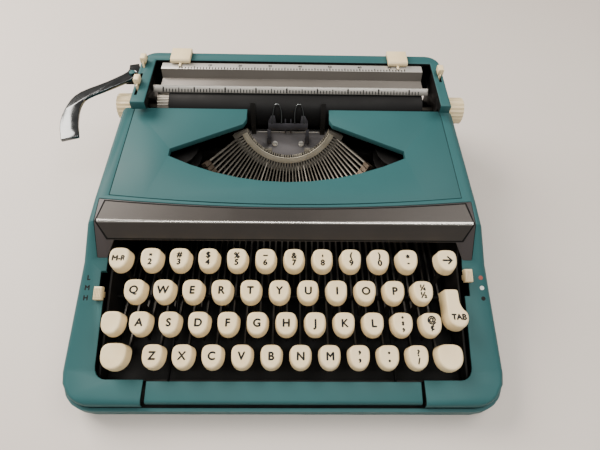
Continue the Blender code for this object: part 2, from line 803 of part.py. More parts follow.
def make_shift_keys():
    """Both shift keys and the lock share one cross rod."""
    pieces = []
    ends = CHASSIS_HALF_WIDTH - CHASSIS_WALL - GAP
    pieces.append(rod(SHIFT_ROD_RADIUS, (-ends, SHIFT_ROD_Y, SHIFT_ROD_Z),
                      (ends, SHIFT_ROD_Y, SHIFT_ROD_Z), ROUND_STEPS // 2))
    places = ((-SHIFT_PITCHES_SHARE, 0, SHIFT_CAP_WIDTH, SHIFT_LEVER_INSET),
              (SHIFT_PITCHES_SHARE, 0, SHIFT_CAP_WIDTH, -SHIFT_LEVER_INSET),
              (LOCK_PITCHES_SHARE, 1, CAP_WIDTH, -LOCK_LEVER_INSET))
    for pitches, row, width, inset in places:
        y, z = row_place(row)
        x = KEYBOARD_X + pitches * KEY_PITCH
        arm = shift_arm(x + inset, y, z - CAP_HEIGHT + STEM_SINK)
        pieces += [arm, key_cap(x, y, z, width, CAP_LENGTH, CAP_HEIGHT)]
    return join(pieces)


def make_space_bar():
    top_front = SPACE_REAR_Z - SPACE_DROP
    corner = (SPACE_FRONT_Y + SPACE_ROUND, top_front - SPACE_ROUND)
    face = arc(corner, SPACE_ROUND, math.pi, math.pi / 2, ARC_STEPS - 1)
    path = [(SPACE_FRONT_Y, top_front - SPACE_FACE)] + face + [(SPACE_REAR_Y, SPACE_REAR_Z)]
    bar = across([strip(path, SPACE_THICK)], -SPACE_HALF_WIDTH, SPACE_HALF_WIDTH)
    ends = CHASSIS_HALF_WIDTH - CHASSIS_WALL - GAP
    pieces = [bar, rod(SPACE_ROD_RADIUS, (-ends, SPACE_ROD_Y, SPACE_ROD_Z),
                       (ends, SPACE_ROD_Y, SPACE_ROD_Z), ROUND_STEPS // 2)]
    half = SPACE_ARM_HEIGHT / 2
    middle = (SPACE_FRONT_Y + SPACE_REAR_Y) / 2
    path = [(SPACE_ROD_Y, SPACE_ROD_Z), (SPACE_ARM_LOW_Y, SPACE_ARM_LOW_Z),
            (SPACE_REAR_Y, SPACE_ARM_LOW_Z), (middle, SPACE_REAR_Z - SPACE_DROP - half)]
    outline = [(y, z + half) for y, z in path] + [(y, z - half) for y, z in reversed(path)]
    for pitches in SPACE_ARM_PITCHES_SHARES:
        x = KEYBOARD_X + pitches * KEY_PITCH
        pieces.append(across([outline], x - LEVER_THICK / 2, x + LEVER_THICK / 2))
    return join(pieces)


# Body

def make_base_pan():
    outer = rounded_outline(-BODY_HALF_WIDTH, BODY_HALF_WIDTH, PAN_FRONT_Y, PAN_REAR_Y,
                            FRONT_CORNER, REAR_CORNER)
    inner = rounded_outline(PAN_WALL - BODY_HALF_WIDTH, BODY_HALF_WIDTH - PAN_WALL,
                            PAN_FRONT_Y + PAN_WALL, PAN_REAR_Y - PAN_WALL,
                            FRONT_CORNER - PAN_WALL, REAR_CORNER - PAN_WALL)
    tray = soften(plate([outer], 0, PAN_HEIGHT), PAN_EDGE, 2, lambda place: place.z < WELD)
    tray = cut(tray, plate([inner], PAN_FLOOR, PAN_HEIGHT + OVERRUN))
    profile = [(0, PAN_FLOOR / 2), (FOOT_TOP_RADIUS, PAN_FLOOR / 2), (FOOT_TOP_RADIUS, 0),
               (FOOT_RADIUS, -FOOT_HEIGHT), (0, -FOOT_HEIGHT)]
    feet = []
    for side in (-1, 1):
        for y in (PAN_FRONT_Y + FOOT_INSET, PAN_REAR_Y - FOOT_INSET):
            place = Matrix.Translation((side * (BODY_HALF_WIDTH - FOOT_INSET), y, 0))
            feet.append(turned(profile, ROUND_STEPS, place))
    return join([tray] + feet)


def bowed_edge(half, middle, end):
    """Points of a bowed edge from right to left."""
    points = []
    for step in range(2 * ARC_STEPS + 1):
        share = 1 - step / ARC_STEPS
        points.append((half * share, middle + (end - middle) * share ** 2))
    return points


def cover_outline(grow, rear):
    front = [(x, y - grow) for x, y in
             reversed(bowed_edge(COVER_HALF_WIDTH + grow, COVER_FRONT_Y, COVER_FRONT_END_Y))]
    return front + [(COVER_HALF_WIDTH + grow, rear), (-COVER_HALF_WIDTH - grow, rear)]


def mouth_path(rear):
    side = [(MOUTH_REAR_HALF, rear), (MOUTH_REAR_HALF, MOUTH_REAR_ROUND_Y),
            (MOUTH_SHOULDER_HALF, MOUTH_SHOULDER_Y), (MOUTH_TIP_HALF, MOUTH_TIP_Y),
            (MOUTH_TIP_HALF, MOUTH_TIP_LOW_Y)]
    steps = 2 * ARC_STEPS
    belly = []
    for step in range(1, steps):
        share = 1 - 2 * step / steps
        belly.append((MOUTH_TIP_HALF * share,
                      MOUTH_LOW_Y + (MOUTH_TIP_LOW_Y - MOUTH_LOW_Y) * share ** 2))
    return side + belly + [(-x, y) for x, y in reversed(side)]


def platen_space():
    reach = BODY_HALF_WIDTH + OVERRUN
    return rod(PLATEN_RADIUS + PLATEN_CLEARANCE, (-reach, PLATEN_Y, PLATEN_Z),
               (reach, PLATEN_Y, PLATEN_Z), 2 * ROUND_STEPS)


def make_ribbon_cover():
    low = DECK_Z - COVER_THICK
    cover = plate([cover_outline(0, DECK_REAR_Y)], low, DECK_Z)
    mouth = plate([mouth_path(DECK_REAR_Y + OVERRUN)], low - OVERRUN, DECK_Z + OVERRUN)
    rim = mouth_path(MOUTH_LIP_REAR_Y)
    lip = plate([rim + list(reversed(beside(rim, MOUTH_LIP_THICK)))], DECK_Z - MOUTH_LIP,
                DECK_Z - COVER_THICK / 2)
    return cut(join([cut(cover, mouth), lip]), platen_space())


def panel_solid(grow):
    """The bent name panel, or its seat where it is grown."""
    def on_slope(z):
        return blend(z, RAIL_REAR_Z, CREASE_Z, RAIL_REAR_Y, CREASE_Y)
    top = DECK_FRONT_Y
    path = [(on_slope(PANEL_GUSSET_Z - grow), PANEL_GUSSET_Z - grow), (CREASE_Y, CREASE_Z),
            (top, DECK_Z)]
    sheet = strip(path, PANEL_THICK + grow)
    if grow:
        sheet = beside(path, OVERRUN) + list(reversed(beside(path, -PANEL_THICK - grow)))
    body = across([sheet], -PANEL_HALF_WIDTH - grow, PANEL_HALF_WIDTH + grow)
    half = PANEL_HALF_WIDTH + grow
    front = [(-half, PANEL_GUSSET_Z - grow), (-WELL_HALF_WIDTH + grow, PANEL_GUSSET_Z - grow),
             (-PANEL_INNER_HALF, PANEL_LOWER_Z - grow), (PANEL_INNER_HALF, PANEL_LOWER_Z - grow),
             (WELL_HALF_WIDTH - grow, PANEL_GUSSET_Z - grow), (half, PANEL_GUSSET_Z - grow),
             (half, DECK_Z + HOUSING_WALL), (-half, DECK_Z + HOUSING_WALL)]
    stand = Matrix.Rotation(math.pi / 2, 4, "X")
    rear = [(x, y + grow) for x, y in bowed_edge(half, PANEL_TOP_Y, PANEL_TOP_END_Y)]
    plan = [(half, RAIL_REAR_Y - HOUSING_WALL)] + rear + [(-half, RAIL_REAR_Y - HOUSING_WALL)]
    body = combine(body, [plate([front], -DECK_REAR_Y, -RAIL_FRONT_Y, stand),
                          plate([plan], 0, DECK_Z + HOUSING_WALL)], "INTERSECT")
    return body


def rim_rise():
    return math.atan2(RAIL_REAR_Z - RAIL_FRONT_Z, RAIL_REAR_Y - RAIL_FRONT_Y)


def selector_slot(side, y, travel):
    """A slot along the rim, longer at the rear for the leaning stem."""
    near = min(y, y + travel) - SELECTOR_STEM_LENGTH / 2 - GAP
    far = max(y, y + travel) + SELECTOR_STEM_LENGTH / 2 + GAP
    far += SELECTOR_STEM_DROP * math.sin(rim_rise())
    inner, outer = WELL_HALF_WIDTH - OVERRUN, SELECTOR_X + SELECTOR_SLOT_HALF
    low, high = sorted((side * inner, side * outer))
    return box((low, near, PAN_HEIGHT + HOUSING_WALL), (high, far, DECK_Z))


def make_housing():
    shell = shell_body(0, DECK_REAR_Y, PAN_HEIGHT + GAP)
    hollow = shell_body(HOUSING_WALL, DECK_REAR_Y + BAY_DEPTH, PAN_HEIGHT - OVERRUN)
    well = plate([rounded_outline(-WELL_HALF_WIDTH, WELL_HALF_WIDTH, WELL_FRONT_Y, WELL_REAR_Y,
                                  WELL_CORNER, WELL_CORNER)], PAN_HEIGHT, DECK_Z)
    ledge_rear = DECK_REAR_Y + BAY_DEPTH
    cover_seat = plate([cover_outline(GAP, ledge_rear)], DECK_Z - COVER_THICK - GAP,
                       DECK_Z + OVERRUN)
    cover_hole = plate([cover_outline(-COVER_LEDGE, ledge_rear)], DECK_Z - 2 * HOUSING_WALL,
                       DECK_Z)
    bar_space = box((-SPACE_HALF_WIDTH - SPACE_GAP, HOUSING_FRONT_Y - OVERRUN, PAN_HEIGHT),
                    (SPACE_HALF_WIDTH + SPACE_GAP, WELL_FRONT_Y + OVERRUN, RAIL_REAR_Z))
    window = box((-WINDOW_HALF_WIDTH, DECK_REAR_Y, REAR_DECK_Z - 2 * HOUSING_WALL),
                 (WINDOW_HALF_WIDTH, WINDOW_REAR_Y, REAR_DECK_Z + OVERRUN))
    return cut(shell, hollow, well, bar_space, panel_solid(GAP), cover_seat, cover_hole, window,
               platen_space(), selector_slot(-1, TOUCH_Y, SELECTOR_TRAVEL),
               selector_slot(1, COLOR_Y, -SELECTOR_TRAVEL))


def make_selector(side, y):
    """A slider on the rim, whose stem runs in the rim's slot."""
    place = Matrix.Translation((side * SELECTOR_X, y, profile_height(y)))
    tilt = Matrix.Rotation(rim_rise(), 4, "X")
    half, long = SELECTOR_WIDTH / 2, SELECTOR_LENGTH / 2
    button = box((-half, -long, GAP), (half, long, SELECTOR_RISE))
    button = soften(button, SELECTOR_STEM / 2, 2, lambda spot: spot.z > GAP + WELD)
    stem = box((-SELECTOR_STEM / 2, -SELECTOR_STEM_LENGTH / 2, -SELECTOR_STEM_DROP),
               (SELECTOR_STEM / 2, SELECTOR_STEM_LENGTH / 2, SELECTOR_RISE / 2))
    piece = join([button, stem])
    piece.data.transform(place @ tilt)
    return piece


def make_chassis():
    low = PAN_FLOOR + GAP
    side = [(CHASSIS_FRONT_Y, low), (CHASSIS_FRONT_Y, RAIL_FRONT_Z - CHASSIS_DROP),
            (RAIL_REAR_Y, RAIL_REAR_Z - CHASSIS_DROP), (CREASE_Y, CHASSIS_TOP_Z),
            (CHASSIS_STEP_Y, CHASSIS_TOP_Z), (CHASSIS_STEP_Y, CHASSIS_REAR_TOP_Z),
            (CHASSIS_REAR_Y, CHASSIS_REAR_TOP_Z), (CHASSIS_REAR_Y, low)]
    half, wall = CHASSIS_HALF_WIDTH, CHASSIS_WALL
    middle = half - wall / 2
    pieces = [across([side], -half, wall - half), across([side], half - wall, half)]
    pieces.append(box((-middle, CHASSIS_FRONT_Y, low),
                      (middle, CHASSIS_FRONT_Y + wall, CHASSIS_FRONT_TOP)))
    pieces.append(box((-middle, CHASSIS_REAR_Y - wall, low),
                      (middle, CHASSIS_REAR_Y, CHASSIS_REAR_TOP_Z)))
    pieces.append(box((-middle, BEAM_FRONT_Y, BEAM_LOW_Z), (middle, BEAM_REAR_Y, BEAM_TOP_Z)))
    for hand in (-1, 1):
        near, far = sorted((hand * (SPOOL_X - SHELF_INNER), hand * middle))
        pieces.append(box((near, SPOOL_Y - SHELF_HALF_LENGTH, SHELF_Z),
                          (far, SPOOL_Y + SHELF_HALF_LENGTH, SHELF_Z + SHELF_THICK)))
        pin = SPOOL_BORE - GAP
        top = SHELF_Z + SHELF_THICK + SPOOL_HEIGHT + GAP
        pieces.append(rod(pin, (hand * SPOOL_X, SPOOL_Y, SHELF_Z), (hand * SPOOL_X, SPOOL_Y, top)))
    arm_low = BEAM_LOW_Z
    pieces.append(box((DRUM_X - DRUM_ARM_HALF, BEAM_FRONT_Y, arm_low),
                      (DRUM_X + DRUM_ARM_HALF, DRUM_Y + DRUM_ARM_HALF, arm_low + DRUM_ARM_THICK)))
    pieces.append(rod(DRUM_PIN_RADIUS, (DRUM_X, DRUM_Y, arm_low),
                      (DRUM_X, DRUM_Y, arm_low + DRUM_ARM_THICK + DRUM_HEIGHT + GAP)))
    return join(pieces)


def wheel(height, radius, core, flange, bore, steps=ROUND_STEPS):
    """A flanged wheel round its bore, standing on z = 0."""
    profile = [(bore, height), (radius, height), (radius, height - flange),
               (core, height - flange), (core, flange), (radius, flange), (radius, 0), (bore, 0)]
    return turned(profile, steps)


def make_spool(side):
    piece = wheel(SPOOL_HEIGHT, SPOOL_RADIUS, SPOOL_HUB_RADIUS, SPOOL_FLANGE, SPOOL_BORE)
    seat = SHELF_Z + SHELF_THICK + GAP
    piece.data.transform(Matrix.Translation((side * SPOOL_X, SPOOL_Y, seat)))
    return piece


def make_drum():
    piece = wheel(DRUM_HEIGHT, DRUM_RADIUS, DRUM_RADIUS - DRUM_ARM_THICK, SPOOL_FLANGE,
                  DRUM_PIN_RADIUS + GAP)
    seat = BEAM_LOW_Z + DRUM_ARM_THICK + GAP
    piece.data.transform(Matrix.Translation((DRUM_X, DRUM_Y, seat)))
    return piece


# Type basket, in a frame with X across, Y up the segment's slope and Z towards the typist

def basket_frame():
    return Matrix.Translation((0, PRINT_Y, PRINT_Z)) @ Matrix.Rotation(BASKET_TILT, 4, "X")


def bar_angles():
    return [BAR_FAN * (2 * bar / (BAR_COUNT - 1) - 1) - math.pi / 2 for bar in range(BAR_COUNT)]


def make_segment():
    down = -math.pi / 2
    steps = 4 * ARC_STEPS
    ring = (arc((0, 0), SEGMENT_OUTER, down - SEGMENT_FAN, down + SEGMENT_FAN, steps)
            + arc((0, 0), SEGMENT_INNER, down + SEGMENT_FAN, down - SEGMENT_FAN, steps))
    comb = plate([ring], -SEGMENT_HALF_THICK, SEGMENT_HALF_THICK)
    spread = math.acos(MOON_TOP / MOON_RADIUS)
    moon = plate([arc((0, 0), MOON_RADIUS, down - spread, down + spread, steps)],
                 -MOON_FRONT - MOON_THICK, -MOON_FRONT)
    pieces = [comb, moon]
    for side in (-1, 1):
        bend = [(-FINGER_ROOT, -MOON_FRONT - MOON_THICK / 2), (-FINGER_BEND, -MOON_FRONT),
                (-FINGER_BEND + FINGER_RISE, FINGER_FRONT), (FINGER_TIP, FINGER_FRONT)]
        left = side * FINGER_X - FINGER_WIDTH / 2
        pieces.append(across([beside(bend, FINGER_THICK) + list(reversed(bend))],
                             left, left + FINGER_WIDTH))
    body = join(pieces)
    slots = []
    for angle in bar_angles():
        slot = box((SEGMENT_INNER - OVERRUN, -SLOT_WIDTH / 2, -SLOT_FLOOR),
                   (SEGMENT_OUTER + OVERRUN, SLOT_WIDTH / 2, SEGMENT_HALF_THICK + OVERRUN))
        slot.data.transform(Matrix.Rotation(angle, 4, "Z"))
        slots.append(slot)
    body = cut(body, gather(slots))
    body.data.transform(basket_frame())
    lugs = []
    for side in (-1, 1):
        left = side * LUG_HALF_SPACING - LUG_WIDTH / 2
        low = BEAM_TOP_Z + GAP
        lugs.append(box((left, BEAM_FRONT_Y - LUG_REACH, low),
                        (left + LUG_WIDTH, BEAM_REAR_Y, low + LUG_RISE)))
    return join([body] + lugs + [make_typebars()])


def make_typebars():
    """Each bar stands in its slot and rests fanned out, slug at its far end."""
    outline = [(-BAR_TAIL, -BAR_ROOT_HALF), (BAR_RADIUS, -BAR_TIP_HALF),
               (BAR_RADIUS, BAR_TIP_HALF), (-BAR_TAIL, BAR_ROOT_HALF)]
    blade = plate([outline], -BAR_THICK / 2, BAR_THICK / 2)
    slug = box((BAR_RADIUS - SLUG_LENGTH / 2, -BAR_TIP_HALF / 2, -SLUG_WIDTH / 2),
               (BAR_RADIUS + SLUG_LENGTH / 2, SLUG_HEIGHT - BAR_TIP_HALF / 2, SLUG_WIDTH / 2))
    bar = join([blade, slug])
    rest = Matrix.Rotation(-BAR_REST, 4, "Y") @ Matrix.Rotation(math.pi / 2, 4, "X")
    bars = []
    for angle in bar_angles():
        spot = Matrix.Rotation(angle, 4, "Z") @ Matrix.Translation((BAR_RADIUS, 0, 0))
        bars.append(copy_of(bar, basket_frame() @ spot @ rest))
    bpy.data.objects.remove(bar)
    return gather(bars)


def make_ribbon_guide():
    half, post = GUIDE_HALF_WIDTH, GUIDE_POST
    fork = [(-half, -GUIDE_BOTTOM), (half, -GUIDE_BOTTOM), (half, GUIDE_TOP),
            (half - post, GUIDE_TOP), (half - post, -GUIDE_BAND_TOP),
            (post - half, -GUIDE_BAND_TOP), (post - half, GUIDE_TOP), (-half, GUIDE_TOP)]
    front = GUIDE_FRONT
    pieces = [plate([fork], front - GUIDE_THICK, front)]
    for side in (-1, 1):
        left = side * GUIDE_LEG_X - GUIDE_LEG_WIDTH / 2
        pieces.append(box((left, -GUIDE_LEG_END, front - GUIDE_THICK),
                          (left + GUIDE_LEG_WIDTH, GUIDE_THICK - GUIDE_BOTTOM, front)))
        pieces.append(box((left, -GUIDE_LEG_END, GAP - MOON_FRONT),
                          (left + GUIDE_LEG_WIDTH, GUIDE_FOOT_HEIGHT - GUIDE_LEG_END,
                           front - GUIDE_THICK / 2)))
    body = join(pieces)
    body.data.transform(basket_frame())
    return body


# Carriage, with x measured from its middle

def circle(center, radius, steps=ROUND_STEPS):
    return arc(center, radius, 0, 2 * math.pi, steps)[:-1]


def make_platen():
    tip = KNOB_IN + KNOB_SEAT - GAP
    profile = [(0, tip), (SHAFT_RADIUS, tip), (SHAFT_RADIUS, PLATEN_RIGHT),
               (PLATEN_RADIUS, PLATEN_RIGHT), (PLATEN_RADIUS, PLATEN_LEFT),
               (COLLAR_RADIUS, PLATEN_LEFT), (COLLAR_RADIUS, PLATEN_LEFT - COLLAR_WIDTH),
               (SHAFT_RADIUS, PLATEN_LEFT - COLLAR_WIDTH), (SHAFT_RADIUS, -tip), (0, -tip)]
    place = Matrix.Translation((0, PLATEN_Y, PLATEN_Z)) @ Matrix.Rotation(math.pi / 2, 4, "Y")
    return turned(profile, 2 * ROUND_STEPS, place)


def make_knob(side):
    """A ribbed knob with a blind bore for the platen's shaft."""
    ribs = []
    for step in range(2 * KNOB_RIBS):
        radius = KNOB_RADIUS - KNOB_RIB_DEPTH * (step % 2)
        angle = math.pi * step / KNOB_RIBS
        ribs.append((radius * math.cos(angle), radius * math.sin(angle)))
    grip = plate([ribs], KNOB_IN, KNOB_IN + KNOB_LENGTH)
    bore = rod(SHAFT_RADIUS + GAP, (0, 0, KNOB_IN - OVERRUN), (0, 0, KNOB_IN + KNOB_SEAT))
    knob = cut(grip, bore)
    turn = Matrix.Rotation(math.pi / 2, 4, "Y")
    place = Matrix.Translation((0, PLATEN_Y, PLATEN_Z))
    mirror = Matrix.Diagonal((side, 1, 1, 1))
    whole = copy_of(knob, place @ mirror @ turn)
    bpy.data.objects.remove(knob)
    return whole


def make_carriage_frame():
    out = END_PLATE_IN + END_PLATE_THICK
    top = SHROUD_TOP_Z - SHROUD_SKIN - GAP
    cheek = [(END_PLATE_FRONT_Y, PLATEN_Z), (END_PLATE_FRONT_Y, END_PLATE_SHOULDER_Z),
             (SHROUD_NOSE_Y + 2 * GAP, END_PLATE_SHOULDER_Z),
             (SHROUD_NOSE_Y + 2 * GAP, top), (CHANNEL_REAR_Y, top),
             (END_PLATE_REAR_Y, BAIL_PIVOT_Z), (CHANNEL_REAR_Y, CHANNEL_LOW_Z),
             (CHANNEL_FRONT_Y, CHANNEL_LOW_Z), (PLATEN_Y, CHANNEL_LOW_Z + GAP)]
    hole = circle((PLATEN_Y, PLATEN_Z), SHAFT_RADIUS + GAP)
    outer = TROUGH_RADIUS + TROUGH_THICK
    axis = (PLATEN_Y, PLATEN_Z)
    trough = (arc(axis, outer, TROUGH_FRONT, TROUGH_REAR, 2 * ARC_STEPS)
              + arc(axis, TROUGH_RADIUS, TROUGH_REAR, TROUGH_FRONT, 2 * ARC_STEPS))
    inside = RAIL_BAR_HALF + GAP
    roof = RAIL_BAR_TOP_Z + GAP
    channel = [(CHANNEL_FRONT_Y, CHANNEL_LOW_Z), (RAIL_BAR_Y - inside, CHANNEL_LOW_Z),
               (RAIL_BAR_Y - inside, roof), (RAIL_BAR_Y + inside, roof),
               (RAIL_BAR_Y + inside, CHANNEL_LOW_Z), (CHANNEL_REAR_Y, CHANNEL_LOW_Z),
               (CHANNEL_REAR_Y, CHANNEL_TOP_Z), (CHANNEL_FRONT_Y, CHANNEL_TOP_Z)]
    span = END_PLATE_IN + END_PLATE_THICK / 2
    pieces = [across([trough], -span, span), across([channel], -span, span)]
    for side in (-1, 1):
        near, far = sorted((side * END_PLATE_IN, side * out))
        plate_end = cut(across([cheek, hole], near, far), across([channel_space(inside, roof)],
                                                                 near - OVERRUN, far + OVERRUN))
        pieces.append(plate_end)
        pin_in = side * (BAIL_HALF_WIDTH - BAIL_ARM_THICK - GAP)
        pin_out = side * (SHROUD_HALF_WIDTH - SHROUD_SKIN - GAP)
        pieces.append(rod(PIN_RADIUS, (pin_in, BAIL_PIVOT_Y, BAIL_PIVOT_Z),
                          (pin_out, BAIL_PIVOT_Y, BAIL_PIVOT_Z), ROUND_STEPS // 2))
    return join(pieces)


def channel_space(inside, roof):
    low = CHANNEL_LOW_Z - OVERRUN
    return [(RAIL_BAR_Y - inside, low), (RAIL_BAR_Y + inside, low), (RAIL_BAR_Y + inside, roof),
            (RAIL_BAR_Y - inside, roof)]


def make_rail():
    low, high = RAIL_BAR_Y - RAIL_BAR_HALF, RAIL_BAR_Y + RAIL_BAR_HALF
    pieces = [box((-RAIL_HALF_LENGTH, low, RAIL_BAR_LOW_Z), (RAIL_HALF_LENGTH, high, RAIL_BAR_TOP_Z))]
    rear = CHASSIS_REAR_Y - CHASSIS_WALL - GAP
    for share in RAIL_LUG_SHARES:
        x = share * RAIL_HALF_LENGTH
        pieces.append(box((x - RAIL_LUG_WIDTH / 2, RAIL_BAR_Y, RAIL_LUG_LOW_Z),
                          (x + RAIL_LUG_WIDTH / 2, rear, RAIL_BAR_LOW_Z + RAIL_BAR_HALF / 2)))
    return join(pieces)


def lever_outline(pivot, top, width):
    """A strip that is round about its pivot and square at its top."""
    along = (Vector(top) - Vector(pivot)).normalized()
    heading = math.atan2(along.y, along.x)
    half = width / 2
    side = Vector((-along.y, along.x)) * half
    eye = arc(pivot, half, heading + math.pi / 2, heading + 3 * math.pi / 2, 2 * ARC_STEPS)
    return eye + [tuple(Vector(top) - side), tuple(Vector(top) + side)]


def arm_lever(side, pivot, top_y, bore):
    """A strip in the gap beside the end plate, with a button above the shroud."""
    middle = side * (END_PLATE_IN + END_PLATE_THICK + GAP + LEVER_STRIP_THICK / 2)
    top_z = SHROUD_TOP_Z + BUTTON_LIFT
    half = LEVER_STRIP_THICK / 2
    outline = lever_outline(pivot, (top_y, top_z + BUTTON_EDGE), LEVER_STRIP_WIDTH + 2 * bore)
    blade = across([outline, circle(pivot, bore)], middle - half, middle + half)
    button = box((middle - BUTTON_WIDTH / 2, top_y - BUTTON_LENGTH / 2, top_z),
                 (middle + BUTTON_WIDTH / 2, top_y + BUTTON_LENGTH / 2, top_z + BUTTON_HEIGHT))
    button = soften(button, BUTTON_EDGE, 2, lambda spot: spot.z > top_z + WELD)
    return join([button, blade])


def lever_slot(side, pivot, top_y, swings, width):
    """The slot that an arm lever needs through the shroud's top."""
    middle = side * (END_PLATE_IN + END_PLATE_THICK + GAP + LEVER_STRIP_THICK / 2)
    lean = math.atan2(top_y - pivot[0], SHROUD_TOP_Z + BUTTON_LIFT - pivot[1])
    places = []
    for swing in swings:
        for height in (SHROUD_TOP_Z, SHROUD_TOP_Z - SHROUD_SKIN):
            middle_y = pivot[0] + (height - pivot[1]) * math.tan(lean + swing)
            spread = width / 2 / math.cos(lean + swing)
            places += [middle_y - spread, middle_y + spread]
    half = LEVER_STRIP_THICK / 2 + GAP
    low_z = SHROUD_NOSE_Z - OVERRUN
    return box((middle - half, min(places) - GAP, low_z),
               (middle + half, max(places) + GAP, SHROUD_TOP_Z + OVERRUN))


def make_shroud():
    half, top, skin = SHROUD_HALF_WIDTH, SHROUD_TOP_Z, SHROUD_SKIN
    quarter = math.pi / 2
    right_in, left_in = half - SHROUD_RIGHT_ARM, SHROUD_LEFT_ARM - half
    turn = SHROUD_CORNER
    rear_edge = (arc((half - turn, SHROUD_REAR_Y - turn), turn, 0, quarter)
                 + arc((turn - half, SHROUD_REAR_Y - turn), turn, quarter, 2 * quarter))
    roof_outline = ([(half, SHROUD_FRONT_Y)] + rear_edge
                    + [(-half, SHROUD_FRONT_Y), (left_in, SHROUD_FRONT_Y),
                       (left_in, SHROUD_BAR_Y), (right_in, SHROUD_BAR_Y),
                       (right_in, SHROUD_FRONT_Y)])
    roof = plate([roof_outline], top - skin, top)
    skirt_path = [(half, SHROUD_NOSE_Y)] + rear_edge + [(-half, SHROUD_NOSE_Y)]
    skirt = plate([list(reversed(skirt_path)) + beside(skirt_path, skin)], SHROUD_SKIRT_Z,
                  top - skin / 2)
    pieces = [roof, skirt]
    for low, high in ((-half, left_in), (right_in, half)):
        pieces.append(box((low, SHROUD_FRONT_Y, SHROUD_NOSE_Z),
                          (high, SHROUD_NOSE_Y + GAP, top - skin / 2)))
    pieces.append(box((turn - half, SHROUD_REAR_Y - skin, SHROUD_REAR_LOW_Z),
                      (half - turn, SHROUD_REAR_Y, SHROUD_SKIRT_Z + skin)))
    ear_top = RETURN_Z - GAP
    pieces.append(box((RETURN_PIVOT_X - RETURN_EAR_HALF, RETURN_PIVOT_Y - RETURN_EAR_HALF,
                       ear_top - RETURN_EAR_THICK),
                      (skin / 2 - half, RETURN_PIVOT_Y + RETURN_EAR_HALF, ear_top)))
    pin_top = RETURN_Z + RETURN_THICK + RETURN_PIN_RADIUS / 2
    pieces.append(rod(RETURN_PIN_RADIUS, (RETURN_PIVOT_X, RETURN_PIVOT_Y, ear_top - GAP),
                      (RETURN_PIVOT_X, RETURN_PIVOT_Y, pin_top)))
    body = soften(join(pieces), SHROUD_EDGE, 2, lambda spot: spot.z > top - WELD)
    reach = half + OVERRUN
    pivot = (BAIL_PIVOT_Y, BAIL_PIVOT_Z)
    width = LEVER_STRIP_WIDTH + 2 * (PIN_RADIUS + GAP)
    space_width = LEVER_STRIP_WIDTH + 2 * (SHAFT_RADIUS + GAP)
    return cut(body,
               rod(SHAFT_RADIUS + OVERRUN, (-reach, PLATEN_Y, PLATEN_Z),
                   (reach, PLATEN_Y, PLATEN_Z)),
               lever_slot(-1, (PLATEN_Y, PLATEN_Z), PLATEN_Y, (-SPACE_SWING, SPACE_SWING),
                          space_width),
               lever_slot(-1, pivot, RELEASE_Y, (0, RELEASE_SWING), width),
               lever_slot(1, pivot, PAPER_RELEASE_Y, (-PAPER_SWING, 0), width))


def make_paper_table():
    tail = SHROUD_TOP_Z - SHROUD_SKIN - GAP
    path = [(TABLE_FRONT_Y, TABLE_FRONT_Z), (TABLE_STEP_Y, TABLE_FRONT_Z),
            (TABLE_SCALE_Y, TABLE_SCALE_Z), (TABLE_SCALE_REAR_Y, TABLE_SCALE_Z),
            (TABLE_SCALE_REAR_Y + TABLE_THICK, tail), (TABLE_TAIL_Y, tail)]
    return across([strip(path, TABLE_THICK)], TABLE_LEFT, TABLE_RIGHT)


def make_bail():
    blade = across([strip([(BAIL_FRONT_Y, BAIL_FRONT_Z), (BAIL_REAR_Y, BAIL_REAR_Z)], BAIL_THICK)],
                   -BAIL_HALF_WIDTH, BAIL_HALF_WIDTH)
    pivot = (BAIL_PIVOT_Y, BAIL_PIVOT_Z)
    top = ((BAIL_FRONT_Y + BAIL_REAR_Y) / 2, (BAIL_FRONT_Z + BAIL_REAR_Z) / 2)
    outline = lever_outline(pivot, top, BAIL_ARM_WIDTH)
    pieces = [blade]
    for side in (-1, 1):
        near, far = sorted((side * (BAIL_HALF_WIDTH - BAIL_ARM_THICK), side * BAIL_HALF_WIDTH))
        pieces.append(across([outline, circle(pivot, PIN_RADIUS + GAP)], near, far))
    return join(pieces)


def make_stop(x):
    """A margin stop that straddles the rear bar, with its tab over the scale."""
    rest = SHROUD_TOP_Z + GAP
    inner = SHROUD_REAR_Y + GAP
    outer = inner + STOP_LIP
    outline = [(STOP_FRONT_Y, rest), (inner, rest), (inner, STOP_LIP_Z), (outer, STOP_LIP_Z),
               (outer, STOP_TOP_Z - STOP_EDGE), (outer - STOP_EDGE, STOP_TOP_Z),
               (STOP_FRONT_Y + STOP_EDGE, STOP_TOP_Z), (STOP_FRONT_Y, STOP_TOP_Z - STOP_EDGE)]
    body = across([outline], x - STOP_WIDTH / 2, x + STOP_WIDTH / 2)
    tab = box((x - STOP_TAB_WIDTH / 2, STOP_FRONT_Y - STOP_TAB_LENGTH, rest),
              (x + STOP_TAB_WIDTH / 2, STOP_FRONT_Y + STOP_EDGE, rest + STOP_TAB_THICK))
    return join([body, tab])


def make_return_lever():
    """A swept lever: a smooth middle line with a width that grows into the blade."""
    points = [(RETURN_PIVOT_X - RETURN_REACH * across_share,
               RETURN_PIVOT_Y - RETURN_RUN * along_share)
              for across_share, along_share in RETURN_PATH_SHARES]
    path = smooth_path(points, RETURN_PATH_STEPS)
    widths = smooth_path([(RETURN_WIDTH * share, 0) for share in RETURN_WIDTH_SHARES],
                         RETURN_PATH_STEPS)
    halves = [width / 2 for width, _ in widths]
    outline = beside(path, halves) + list(reversed(beside(path, [-half for half in halves])))
    eye = circle((RETURN_PIVOT_X, RETURN_PIVOT_Y), RETURN_PIN_RADIUS + GAP)
    return plate([outline, eye], RETURN_Z, RETURN_Z + RETURN_THICK)


# Build

for leftover in list(bpy.data.objects):
    bpy.data.objects.remove(leftover)
machine = fresh_collection("portable_typewriter")
tools = fresh_collection("tools")

